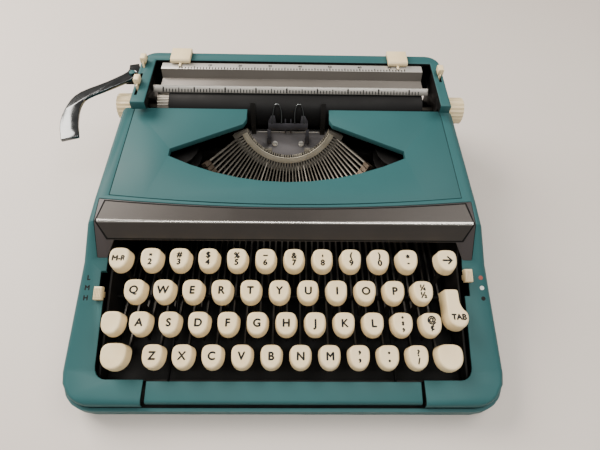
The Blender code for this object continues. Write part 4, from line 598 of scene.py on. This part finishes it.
keyboard = {
    "middle": -1.0,  # mm, all sizes here
    "pitch": 19.05,
    "frontRow": (-110.0, 35.0),  # y and z, as for the levers
    "rowRise": 8.4785,
    "cap": (15.9, 15.8, 8.5),  # width and length at the skirt, and height
    "taper": (2.0, 0.8),
    "front": 0.15,  # how much narrower the front of a cap is
    "powers": (0.66, 0.92),  # of the outline's curve at the rear and at the front: 1 is an ellipse, 0 a box
    "shiftCap": (19.6, 17.2),
    "tabCap": (15.0, 26.0, 11.5),
    "tabMark": (0.3, -6.2),
    "tilt": 8.0,  # degrees
    "skirt": (0.1, 0.05, 0.3),  # what the skirt draws in by, in width and length, and how high up
    "shoulder": (0.15, 0.1),  # how much wider and longer the top is where its round starts
    "round": 1.3,
    "roundSteps": 4,
    "dish": 0.35,
    "dishShares": (0.85, 0.6, 0.3),
    "sides": 36,
    "leverThick": 1.2,
    "leverHeight": 5.0,
    "leverRear": (115.0, 14.0),
    "leverKnee": (-60.0, 15.0),
    "leverFront": 18.5,
    "stem": 4.0,
    "sink": 2.0,
    "forkHeight": 7.8,
    "forkLength": 5.5,
    "axle": 1.5,
    "play": 0.3,
    "axleHalf": 121.9,
    "shiftRod": (110.0, 5.6, 1.2),  # y, z and radius
    "shiftBend": 60.0,
}
lettering = {
    "letter": 7.2,  # mm, size of the type
    "figure": 5.6,
    "word": 5.2,
    "arrow": 9.0,
    "point": 9.5,
    "weight": 0.31,  # mm that each stroke grows by, on each side
    "lift": 0.03,  # mm above the cap
    "layer": 0.002,  # mm between the copies that thicken a stroke
    "stack": 2.5,  # mm from the middle of a cap to each of two lines
    "curveSteps": 6,
}
# Outline of the tab key's cap, in shares of its width and length
tabShares = ((-0.46, 0.5), (0.08, 0.5), (0.16, 0.42), (0.17, 0.16), (0.3, -0.02), (0.5, -0.14),
             (0.5, -0.32), (0.3, -0.47), (-0.02, -0.5), (-0.34, -0.42), (-0.5, -0.24), (-0.5, 0.0),
             (-0.5, 0.3), (-0.5, 0.46))
tabSteps = 4
upright = Matrix()
sideways = Matrix(((0, 0, 1, 0), (1, 0, 0, 0), (0, 1, 0, 0), (0, 0, 0, 1)))  # lays an outline in (y, z)


def power(value, exponent):
    return math.copysign(abs(value) ** exponent, value)


def capOutline(look):
    points = []
    for step in range(look["sides"]):
        angle = 2 * math.pi * step / look["sides"]
        exponent = look["powers"][0] if math.sin(angle) > 0 else look["powers"][1]
        x, y = power(math.cos(angle), exponent), power(math.sin(angle), exponent)
        points.append((x * (1 + look["front"] * (y - 1) / 2), y))
    return points


def curveSteps(places, steps):
    # Points of a smooth curve from the second of four places to the third
    before, start, end, after = (Vector(place) for place in places)
    for share in (step / steps for step in range(steps)):
        yield (2 * start + (end - before) * share + (2 * before - 5 * start + 4 * end - after) * share ** 2
               + (3 * start - before - 3 * end + after) * share ** 3) / 2


def smoothLoop(points, steps):
    count = len(points)
    return [tuple(spot) for index in range(count)
            for spot in curveSteps([points[(index + shift) % count] for shift in (-1, 0, 1, 2)], steps)]


def smoothRun(points, steps):
    padded = [points[0], *points, points[-1]]
    fours = zip(padded, padded[1:], padded[2:], padded[3:])
    run = [spot for places in fours for spot in curveSteps(places, steps)]
    return run + [Vector(points[-1])]


def arc(radius, start, end, steps, middle=(0, 0)):
    # From start to end, in degrees
    angles = [math.radians(start + (end - start) * step / steps) for step in range(steps + 1)]
    return [(middle[0] + radius * math.cos(angle), middle[1] + radius * math.sin(angle)) for angle in angles]


def circle(radius, sides, middle=(0, 0)):
    return arc(radius, 0, 360, sides, middle)[:-1]


def dishHeight(look, reach):
    return -look["dish"] * (1 - min(reach, 1) ** 2)


def addCap(form, look, outline, width, length, height, matrix):
    corner, rise = look["round"], look["skirt"][2]
    topWidth, topLength = width - look["taper"][0], length - look["taper"][1]
    rings = [(width, length, -height), (width - look["skirt"][0], length - look["skirt"][1], rise - height),
             (topWidth + look["shoulder"][0], topLength + look["shoulder"][1], -corner)]
    for step in range(1, look["roundSteps"] + 1):
        angle = math.pi / 2 * step / look["roundSteps"]
        inset = 2 * corner * (1 - math.cos(angle))
        rings.append((topWidth - inset, topLength - inset, corner * (math.sin(angle) - 1)))
    flatWidth, flatLength = rings[-1][0], rings[-1][1]
    for share in look["dishShares"]:
        rings.append((flatWidth * share, flatLength * share, dishHeight(look, share)))
    loops = []
    for ringWidth, ringLength, z in rings:
        loops.append([form.verts.new(matrix @ (Vector((x * ringWidth / 2, y * ringLength / 2, z)) * mm))
                      for x, y in outline])
    count = len(outline)
    for loop, following in zip(loops, loops[1:]):
        for index in range(count):
            after = (index + 1) % count
            form.faces.new((loop[index], loop[after], following[after], following[index]))
    form.faces.new(loops[0][::-1])
    middle = form.verts.new(matrix @ (Vector((0, 0, dishHeight(look, 0))) * mm))
    for index in range(count):
        form.faces.new((loops[-1][index], loops[-1][(index + 1) % count], middle))


def addPlate(form, outline, low, high, matrix, finishIndex=0):
    bottom = [form.verts.new(matrix @ (Vector((x, y, low)) * mm)) for x, y in outline]
    top = [form.verts.new(matrix @ (Vector((x, y, high)) * mm)) for x, y in outline]
    made = [form.faces.new(bottom[::-1]), form.faces.new(top)]
    for index in range(len(outline)):
        after = (index + 1) % len(outline)
        made.append(form.faces.new((bottom[index], bottom[after], top[after], top[index])))
    for face in made:
        face.material_index = finishIndex
    return made


def leverMiddle(look, y):
    start, end = ((look["leverRear"], look["leverKnee"]) if y > look["leverKnee"][0]
                  else (look["leverKnee"], (look["frontRow"][0], look["leverFront"])))
    return start[1] + (end[1] - start[1]) * (y - start[0]) / (end[0] - start[0])


def leverOutline(look, y, top, forked):
    half, fork = look["leverHeight"] / 2, look["forkHeight"] / 2
    slot = look["axle"] + look["play"]
    rearY, rearZ = look["leverRear"]
    rear, neck = rearY + slot, rearY - slot - look["forkLength"]
    near, far = y - look["stem"] / 2, y + look["stem"] / 2
    knee = [look["leverKnee"]] if far < look["leverKnee"][0] else []
    outline = [(rear, rearZ + fork), (neck + half, rearZ + fork), (neck, leverMiddle(look, neck) + half)]
    outline += [(place, height + half) for place, height in knee]
    outline += [(far, leverMiddle(look, far) + half), (far, top), (near, top),
                (near, leverMiddle(look, near) - half)]
    outline += [(place, height - half) for place, height in knee]
    outline += [(neck, leverMiddle(look, neck) - half), (neck + half, rearZ - fork), (rear, rearZ - fork)]
    if forked:
        outline += [(rear, rearZ - slot), (rearY - slot, rearZ - slot), (rearY - slot, rearZ + slot),
                    (rear, rearZ + slot)]
    return outline


def shiftOutline(look, y, top):
    half = look["leverHeight"] / 2
    near, far = y - look["stem"] / 2, y + look["stem"] / 2
    path = [look["shiftRod"][:2], (look["shiftBend"], leverMiddle(look, look["shiftBend"])),
            look["leverKnee"], (far, leverMiddle(look, far))]
    outline = [(place, height + half) for place, height in path] + [(far, top), (near, top)]
    outline += [(near, leverMiddle(look, near) - half)]
    outline += [(place, height - half) for place, height in reversed(path[1:-1])]
    return outline + [(path[0][0], path[0][1] - half)]


def addSideways(form, outline, x, thick, finishIndex):
    made = addPlate(form, outline[::-1], x - thick / 2, x + thick / 2, sideways, finishIndex)
    bmesh.ops.recalc_face_normals(form, faces=made)


def addAxle(form, half, y, z, radius, finishIndex, sides=20):
    # A rod along X
    place = Matrix.Translation(Vector((-half, y, z)) * mm) @ Matrix.Rotation(math.pi / 2, 4, "Y")
    addPlate(form, circle(radius, sides), 0, 2 * half, place, finishIndex)


def addLettering(form, text, size, place, matrix, finishIndex, weight=lettering["weight"], follow=None):
    curve = bpy.data.curves.new("lettering", "FONT")
    curve.body = text
    curve.size = size * mm
    curve.align_x = "CENTER"
    curve.align_y = "CENTER"
    curve.resolution_u = lettering["curveSteps"]
    holder = bpy.data.objects.new("lettering", curve)
    bpy.context.scene.collection.objects.link(holder)
    mesh = settledMesh(holder)
    bpy.data.objects.remove(holder)
    if not text.isalnum():
        # A mark stands in the middle of its line
        heights = [spot.co.y for spot in mesh.vertices]
        mesh.transform(Matrix.Translation((0, -(min(heights) + max(heights)) / 2, 0)))
    known = len(form.faces)
    for step, (x, y) in enumerate(((0, 0), (-weight, 0), (weight, 0), (0, -weight), (0, weight))):
        laid = mesh.copy()
        spot = Vector((place[0] + x, place[1] + y, lettering["lift"] + lettering["layer"] * step)) * mm
        laid.transform(Matrix.Translation(spot))
        for corner in laid.vertices if follow else ():
            corner.co.z += follow(corner.co.x / mm, corner.co.y / mm) * mm
        laid.transform(matrix)
        form.from_mesh(laid)
    form.faces.ensure_lookup_table()
    for face in form.faces[known:]:
        face.material_index = finishIndex


def capPlace(look, pitches, row):
    return (look["middle"] + pitches * look["pitch"], look["frontRow"][0] + row * look["pitch"],
            look["frontRow"][1] + row * look["rowRise"])


roundCap = capOutline(keyboard)
tabCap = [(2 * x, 2 * y) for x, y in reversed(smoothLoop(tabShares, tabSteps))]


def typeSize(text, line):
    if line == "→":
        return lettering["arrow"]
    if line in ",.:;":
        return lettering["point"]
    return lettering["letter" if len(text) == 1 else "word" if line == text else "figure"]


def addKey(form, look, pitches, row, text="", forked=True, size=None, lever="key", inset=0.0):
    x, y, z = capPlace(look, pitches, row)
    capWidth, capLength, height = look["tabCap"] if lever == "tab" else look["cap"]
    capWidth, capLength = size or (capWidth, capLength)
    outline, middle = (tabCap, look["tabMark"]) if lever == "tab" else (roundCap, (0, 0))
    matrix = Matrix.Translation(Vector((x, y, z)) * mm) @ Matrix.Rotation(math.radians(look["tilt"]), 4, "X")
    addCap(form, look, outline, capWidth, capLength, height, matrix)
    halfWidth = (capWidth - look["taper"][0]) / 2 - look["round"]
    halfLength = (capLength - look["taper"][1]) / 2 - look["round"]
    lines = text.split("/", 1) if "/" in text[1:] else [text] if text else []
    for index, line in enumerate(lines):
        rise = 0 if len(lines) == 1 else lettering["stack"] * (1 - 2 * index)
        addLettering(form, line, typeSize(text, line), (middle[0], middle[1] + rise), matrix, 1,
                     follow=lambda x, y: dishHeight(look, math.hypot(x / halfWidth, y / halfLength)))
    top = z - height + look["sink"]
    path = shiftOutline(look, y, top) if lever == "shift" else leverOutline(look, y, top, forked)
    addSideways(form, path, x + inset, look["leverThick"], 2)


# Blued spring steel, oiled: the levers show as dark lines with a thin sheen along their tops
leverSteel = makeFinish(
    "blued_steel_oiled", colors=("#3B3A38", "#54514D"), driftMm=9, grainMm=0.4, bumpMm=0.004,
    roughness=(0.35, 0.5), metallic=0.9)
keyFinishes = [creamAbs, blackInk, leverSteel]
keyPlaces = {  # in key pitches from the middle, and rows from the front
    "letters": (("zxcvbnm", 0, -4.4), ("asdfghjkl", 1, -4.9), ("qwertyuiop", 2, -5.15)),
    "others": (("key_comma", 2.6, 0, ",/,"), ("key_period", 3.6, 0, "./."),
               ("margin_release_key", -5.74, 3, "M-R"), ("backspace_key", 5.74, 3, "→")),
    "tab": (6.0, 1.5, "TAB"),
    "figures": (-4.65, 3, ("\"/2", "#/3", "$/4", "%/5", "–/6", "&/7", "'/8", "(/9", ")/0", "*/-")),
    "marks": ((4.6, 0, "?//"), (4.1, 1, ":/;"), (5.1, 1, "@/¢"), (4.85, 2, "¼/½")),
    "shifts": ((-5.7, 0, keyboard["shiftCap"], 4.0), (5.7, 0, keyboard["shiftCap"], -4.0),
               (-5.85, 1, None, -2.0)),  # with the cap's size, and the lever's place in mm from its middle
}


def dressKeys(node, form):
    dress(smooth(objectFrom(node + "_dressed", form)), keyFinishes, bodyOf(node), "cream_plastic", node)


singleKeys = [("key_" + letter, first + index, row, letter.upper())
              for letters, row, first in keyPlaces["letters"] for index, letter in enumerate(letters)]
for node, pitches, row, text in [*singleKeys, *keyPlaces["others"]]:
    form = bmesh.new()
    addKey(form, keyboard, pitches, row, text)
    dressKeys(node, form)

form = bmesh.new()
addKey(form, keyboard, *keyPlaces["tab"], lever="tab")
dressKeys("tab_key", form)

form = bmesh.new()
first, row, texts = keyPlaces["figures"]
for index, text in enumerate(texts):
    addKey(form, keyboard, first + index, row, text, forked=False)
for place in keyPlaces["marks"]:
    addKey(form, keyboard, *place, forked=False)
addAxle(form, keyboard["axleHalf"], *keyboard["leverRear"], keyboard["axle"], 2)
dressKeys("figure_keys", form)

form = bmesh.new()
for pitches, row, size, inset in keyPlaces["shifts"]:
    addKey(form, keyboard, pitches, row, size=size, lever="shift", inset=inset)
addAxle(form, keyboard["axleHalf"], *keyboard["shiftRod"], 2)
dressKeys("shift_keys", form)
print("keyboard made:", len(singleKeys) + len(keyPlaces["others"]) + 3, "pieces")

# Small work: wires, blocks, and one node tree for all that repeats


def addTube(form, points, radius, matrix, finishIndex, sides=10):
    spots = [matrix @ (Vector(spot) * mm) for spot in points]
    side, rings, made = None, [], []
    for index, spot in enumerate(spots):
        ahead = (spots[min(index + 1, len(spots) - 1)] - spots[max(index - 1, 0)]).normalized()
        side = ahead.orthogonal() if side is None else side - ahead * side.dot(ahead)
        side.normalize()
        other = ahead.cross(side)
        rings.append([form.verts.new(spot + (side * x + other * y) * mm) for x, y in circle(radius, sides)])
    for ring, following in zip(rings, rings[1:]):
        for index in range(sides):
            after = (index + 1) % sides
            made.append(form.faces.new((ring[index], ring[after], following[after], following[index])))
    made += [form.faces.new(rings[0][::-1]), form.faces.new(rings[-1])]
    for face in made:
        face.material_index = finishIndex


def addBlock(form, low, high, matrix, finishIndex=0):
    outline = [(low[0], low[1]), (high[0], low[1]), (high[0], high[1]), (low[0], high[1])]
    addPlate(form, outline, low[2], high[2], matrix, finishIndex)


def addSideBlock(form, side, low, high, matrix, finishIndex=0):
    # The block on the right, or its mirror image on the left
    left, right = sorted((side * low[0], side * high[0]))
    addBlock(form, (left, *low[1:]), (right, *high[1:]), matrix, finishIndex)


screwHead = {
    "radius": 2.4,  # mm
    "base": (28, 0.0, 0.5),  # sides and two heights
    "halves": (14, 0.4, 1.1),  # steps and two heights
    "inset": 0.94,  # share of the radius
    "slot": 0.16,  # radians, half of what the slot takes
}


def addScrew(form, look, place, matrix, finishIndex):
    # A cheese head in two halves, a slot apart
    x, y, z = place
    sides, low, high = look["base"]
    addPlate(form, circle(look["radius"], sides, (x, y)), z + low, z + high, matrix, finishIndex)
    steps, low, high = look["halves"]
    radius, slot = look["radius"] * look["inset"], math.degrees(look["slot"])
    for start in (0, 180):
        half = arc(radius, start + slot, start + 180 - slot, steps, (x, y))
        addPlate(form, half, z + low, z + high, matrix, finishIndex)


def makeRepeatTree():
    tree = bpy.data.node_groups.new("repeatPart", "GeometryNodeTree")
    for label, kind in (("Geometry", "Geometry"), ("Count", "Int"), ("Step", "Vector"), ("Turn", "Vector"),
                        ("Finish", "Material")):
        tree.interface.new_socket(name=label, in_out="INPUT", socket_type="NodeSocket" + kind)
    tree.interface.new_socket(name="Geometry", in_out="OUTPUT", socket_type="NodeSocketGeometry")
    given = addNode(tree, "NodeGroupInput").outputs
    line = addNode(tree, "GeometryNodeMeshLine", {"mode": "OFFSET"}, {
        "Count": given["Count"], "Offset": given["Step"]})
    order = addNode(tree, "GeometryNodeInputIndex")
    turned = addNode(tree, "ShaderNodeVectorMath", {"operation": "SCALE"}, {
        0: given["Turn"], "Scale": order.outputs[0]})
    euler = addNode(tree, "FunctionNodeEulerToRotation", {}, {0: turned.outputs[0]})
    spread = addNode(tree, "GeometryNodeInstanceOnPoints", {}, {
        "Points": line.outputs[0], "Instance": given["Geometry"], "Rotation": euler.outputs[0]})
    real = addNode(tree, "GeometryNodeRealizeInstances", {}, {"Geometry": spread.outputs[0]})
    finish = addNode(tree, "GeometryNodeSetMaterial", {}, {
        "Geometry": real.outputs[0], "Material": given["Finish"]})
    addNode(tree, "NodeGroupOutput", {}, {0: finish.outputs[0]})
    return tree


repeatTree = makeRepeatTree()


def repeated(name, form, count, finish, matrix, step=(0, 0, 0), turn=(0, 0, 0)):
    piece = objectFrom(name, form)
    nest = piece.modifiers.new("Repeat", "NODES")
    nest.node_group = repeatTree
    values = {"Count": count, "Step": [value * mm for value in step],
              "Turn": [math.radians(value) for value in turn], "Finish": finish}
    for item in repeatTree.interface.items_tree:
        if item.in_out == "INPUT" and item.name in values:
            nest[item.identifier] = values[item.name]
    settle(piece)
    piece.data.transform(matrix)
    return piece


# Scales of the paper table and the bail: a tick for each letter space, longer ones at five
# The table has a number at each ten, and the bail a bar

scales = {
    "space": 2.54,  # mm, pica
    "every": (("letters", 1), ("fives", 5)),
    "tens": 10,
    "heights": (-0.05, 0.04),  # of a tick, from its strip
    "halfTick": 0.4,
    "number": (3.4, 1.3, 0.12),  # size, row and weight
    "bar": (0.6, 4.2),  # half width and length
    "strips": (  # node, body, middle, tilt, ticks, their lower ends and lengths, and whether numbered
        ("paper_table", "carriage", (3.2, 121.9, 79.5), 0.0, 76, -3.6, (2.2, 3.2), True),
        ("paper_bail", "bail", (2.5, 98.25, 75.1), 38.67, 84, -2.6, (2.6, 3.6), False),
    ),
}


def addTick(form, look, x, half, low, length, matrix):
    under, over = look["heights"]
    addBlock(form, (x - half, low, under), (x + half, low + length, over), matrix)


for node, body, middle, tilt, count, low, lengths, numbered in scales["strips"]:
    matrix = Matrix.Translation(Vector(middle) * mm) @ Matrix.Rotation(math.radians(tilt), 4, "X")
    start = -scales["space"] * (count - 1) / 2
    for (label, every), length in zip(scales["every"], lengths):
        form = bmesh.new()
        addTick(form, scales, start, scales["halfTick"], low, length, upright)
        ticks = repeated(f"{node}_{label}", form, (count - 1) // every + 1, blackInk, matrix,
                         step=(scales["space"] * every, 0, 0))
        dress(ticks, [], body, "grey_trim")
    form = bmesh.new()
    for tens in range(0, count, scales["tens"]):
        x = start + tens * scales["space"]
        if numbered:
            size, row, weight = scales["number"]
            addLettering(form, str(tens), size, (x, row), matrix, 0, weight)
        else:
            half, length = scales["bar"]
            addTick(form, scales, x, half, low, length, matrix)
    dress(objectFrom(node + "_tens", form), [blackInk], body, "grey_trim")
print("scales made")

# Ribbed collar at the left end of the platen, and the ribs of the two selectors

collar = {
    "axis": (0, 97.6, 56.0),  # mm
    "ends": (-107.9, -98.9),
    "radii": (14.9, 15.55),
    "halfRib": 0.45,
    "count": 44,
}
left, right = collar["ends"]
inner, outer = collar["radii"]
form = bmesh.new()
addBlock(form, (left, -collar["halfRib"], inner), (right, collar["halfRib"], outer), upright)
ribs = repeated("platen_collar_ribs", form, collar["count"], dullSteel,
                Matrix.Translation(Vector(collar["axis"]) * mm), turn=(360 / collar["count"], 0, 0))
dress(ribs, [], "platen", "dull_steel")

selectors = {
    "places": (("touch_selector", (-127.0, -69.55, 41.55)), ("color_selector", (127.0, -56.55, 45.75))),
    "tilt": 18.19,
    "rib": (0.25, 3.1),  # half width and half length
    "heights": (-0.3, 0.45),
    "count": 5,
    "pitch": 1.0,
}
half, halfLength = selectors["rib"]
low, high = selectors["heights"]
first = -selectors["pitch"] * (selectors["count"] - 1) / 2
for node, place in selectors["places"]:
    form = bmesh.new()
    addBlock(form, (first - half, -halfLength, low), (first + half, halfLength, high), upright)
    matrix = Matrix.Translation(Vector(place) * mm) @ Matrix.Rotation(math.radians(selectors["tilt"]), 4, "X")
    ribs = repeated(node + "_ribs", form, selectors["count"], creamAbs, matrix,
                    step=(selectors["pitch"], 0, 0))
    dress(ribs, [], bodyOf(node), "cream_plastic")

# Marks printed on the rims: three letters at the touch selector, three dots at the ribbon selector

rimMarks = {
    "letters": (("L", -136.2, -57.6), ("M", -136.4, -64.2), ("H", -136.6, -70.8)),
    "type": (4.6, 0.2),  # size and weight
    "dots": ((137.0, -55.8, 1), (137.2, -62.6, 2), (137.4, -69.6, 0)),  # with the finish
    "dot": (1.5, 24, -0.1, 0.06),  # radius, sides and two heights
    "above": 200,  # mm, higher than the shell
}
shellTree = treeOf(nodes["housing"].data)


def onShell(x, y):
    spot, normal, _, _ = shellTree.ray_cast(Vector((x, y, rimMarks["above"])) * mm, Vector((0, 0, -1)))
    turn = Vector((0, 0, 1)).rotation_difference(normal).to_matrix().to_4x4()
    return Matrix.Translation(spot) @ turn


form = bmesh.new()
size, weight = rimMarks["type"]
for text, x, y in rimMarks["letters"]:
    addLettering(form, text, size, (0, 0), onShell(x, y), 0, weight)
radius, sides, low, high = rimMarks["dot"]
for x, y, finishIndex in rimMarks["dots"]:
    addPlate(form, circle(radius, sides), low, high, onShell(x, y), finishIndex)
dress(objectFrom("rim_marks", form), [blackInk, redPaint, whitePaint], "root", "teal_enamel")
print("collar, selectors and marks made")

# Ribbon guide: a blued yoke with two chromed wire loops, in the basket's frame

smallEdge = (0.12, 50)  # width in mm, and the least turn in degrees that is softened
ribbonGuide = {
    "yoke": ((-16.5, -13.6, 2.0), (16.5, -8.2, 3.0)),  # mm, two corners of a block
    "cheek": ((10.2, -9.2), (16.5, -9.2), (16.5, -6.7), (13.9, -2.0), (11.0, -2.0), (10.2, -7.2)),
    "cheekDepths": (2.1, 2.9),
    "leg": ((14.6, -26.0, 2.1), (17.4, -13.1, 2.9)),
    "foot": ((14.2, -26.0, -2.1), (17.8, -21.0, 2.5)),
    "loop": ((5.6, -8.6), (5.4, -3.0), (6.0, 3.0), (7.6, 6.6), (9.8, 7.2), (11.6, 4.4), (12.6, -1.0),
             (13.4, -8.6)),
    "loopDepth": 2.5,
    "loopSteps": 6,
    "wire": (0.7, 12),  # radius and sides
}
form = bmesh.new()
addBlock(form, *ribbonGuide["yoke"], basketFrame)
radius, sides = ribbonGuide["wire"]
for side in (-1, 1):
    cheek = [(side * x, y) for x, y in ribbonGuide["cheek"]][::side]
    addPlate(form, cheek, *ribbonGuide["cheekDepths"], basketFrame)
    addSideBlock(form, side, *ribbonGuide["leg"], basketFrame)
    addSideBlock(form, side, *ribbonGuide["foot"], basketFrame)
    loop = [(side * x, y, ribbonGuide["loopDepth"]) for x, y in ribbonGuide["loop"]]
    addTube(form, smoothRun(loop, ribbonGuide["loopSteps"]), radius, basketFrame, 1, sides)
bmesh.ops.recalc_face_normals(form, faces=form.faces[:])
guide = soften(objectFrom("ribbon_guide_dressed", form), *smallEdge)
dress(smooth(guide), [bluedPlate, chromePlate], "guide", "dull_steel", "ribbon_guide")

# Segment dressing: the half-moon's rolled edge and ring, two screws, a painted highlight along its upper
# edge, and the type guide

segmentDress = {
    "ends": (25.0, 155.0),  # degrees, where the arcs start and end
    "edge": (38.1, 3.7, 0.5, 48),  # radius, depth, wire and steps
    "ring": (38.0, 42.5, 3.3, 3.9, 64),  # two radii, two depths and steps
    "screws": ((-11.2, -27.0, -2.5), (11.2, -27.0, -2.5)),
    "highlightLine": ((-26.0, -17.1, -2.5), (26.0, -16.4, -2.2)),
    "post": ((1.7, -17.2, -1.6), (2.9, -5.2, 0.6)),
    "slots": (43, 39.6, 42.3, 0.35),  # how many, their two radii and half width
    "slotDepths": (0.4, 0.64),
    "margin": 2.0,  # degrees from an end to a slot
}
first, last = segmentDress["ends"]
form = bmesh.new()
reach, depth, wire, steps = segmentDress["edge"]
addTube(form, [(x, y, depth) for x, y in arc(reach, -first, -last, steps)], wire, basketFrame, 0)
inside, outside, low, high, steps = segmentDress["ring"]
outline = arc(outside, -first, -last, steps) + arc(inside, -last, -first, steps)
addPlate(form, outline, low, high, basketFrame)
for place in segmentDress["screws"]:
    addScrew(form, screwHead, place, basketFrame, 1)
# Painted highlight: a pale strip along the half-moon plate's upper edge
addBlock(form, *segmentDress["highlightLine"], basketFrame, 1)
for side in (-1, 1):
    addSideBlock(form, side, *segmentDress["post"], basketFrame, 2)
bmesh.ops.recalc_face_normals(form, faces=form.faces[:])
piece = soften(objectFrom("segment_dressing", form), *smallEdge)
dress(smooth(piece), [combSteel, nickelAndHighlight, bluedPlate], "root", "dull_steel")

count, inside, outside, half = segmentDress["slots"]
low, high = segmentDress["slotDepths"]
margin = segmentDress["margin"]
form = bmesh.new()
start = Matrix.Rotation(math.radians(margin - last), 4, "Z")
addBlock(form, (inside, -half, low), (outside, half, high), start)
slots = repeated("segment_slots", form, count, blackInk, basketFrame,
                 turn=(0, 0, (last - first - 2 * margin) / (count - 1)))
dress(slots, [], "root", "dull_steel")
print("ribbon guide and segment dressing made")

# Table top and light

studio = {
    "tableColor": ("#DED5CD", "#E6DED7"),
    "tableSize": 6.0,  # m
    "tableSquares": 8,
    "footSole": -5.0,  # mm
    "aim": (0, 0, 0.03),  # m
    "lights": (  # place, width and depth in m, watts, colour
        ((-0.8, 0.5, 0.8), (0.7, 0.7), 22, "#FFF6EC"),
        ((0.65, 0.25, 1.2), (0.7, 0.7), 8, "#FFF8F0"),
        ((0.0, -0.36, 1.05), (1.0, 0.08), 6, "#FFFDF8"),
    ),
    "world": ("#EEE9E2", 0.36),
}


def makeStudio(look):
    form = bmesh.new()
    squares = look["tableSquares"]
    bmesh.ops.create_grid(form, x_segments=squares, y_segments=squares, size=look["tableSize"] / 2)
    bmesh.ops.translate(form, verts=form.verts, vec=(0, 0, look["footSole"] * mm))
    table = objectFrom("table_top", form)
    # Painted board: pale, matt, with a faint roller stipple
    table.data.materials.append(makeFinish("painted_board_pale", colors=look["tableColor"], driftMm=300,
                                           grainMm=1.2, roughness=(0.5, 0.6)))
    for index, (place, size, power, color) in enumerate(look["lights"]):
        lamp = bpy.data.lights.new(f"softbox_{index}", "AREA")
        lamp.shape = "RECTANGLE"
        lamp.size, lamp.size_y = size
        lamp.energy = power
        lamp.color = linear(color)[:3]
        stand = bpy.data.objects.new(f"softbox_{index}", lamp)
        bpy.context.scene.collection.objects.link(stand)
        aim = (Vector(look["aim"]) - Vector(place)).to_track_quat("-Z", "Y").to_matrix().to_4x4()
        stand.matrix_world = Matrix.Translation(place) @ aim
    world = bpy.data.worlds.new("studio")
    world.use_nodes = True
    sky = world.node_tree.nodes["Background"]
    sky.inputs["Color"].default_value = linear(look["world"][0])
    sky.inputs["Strength"].default_value = look["world"][1]
    bpy.context.scene.world = world


makeStudio(studio)
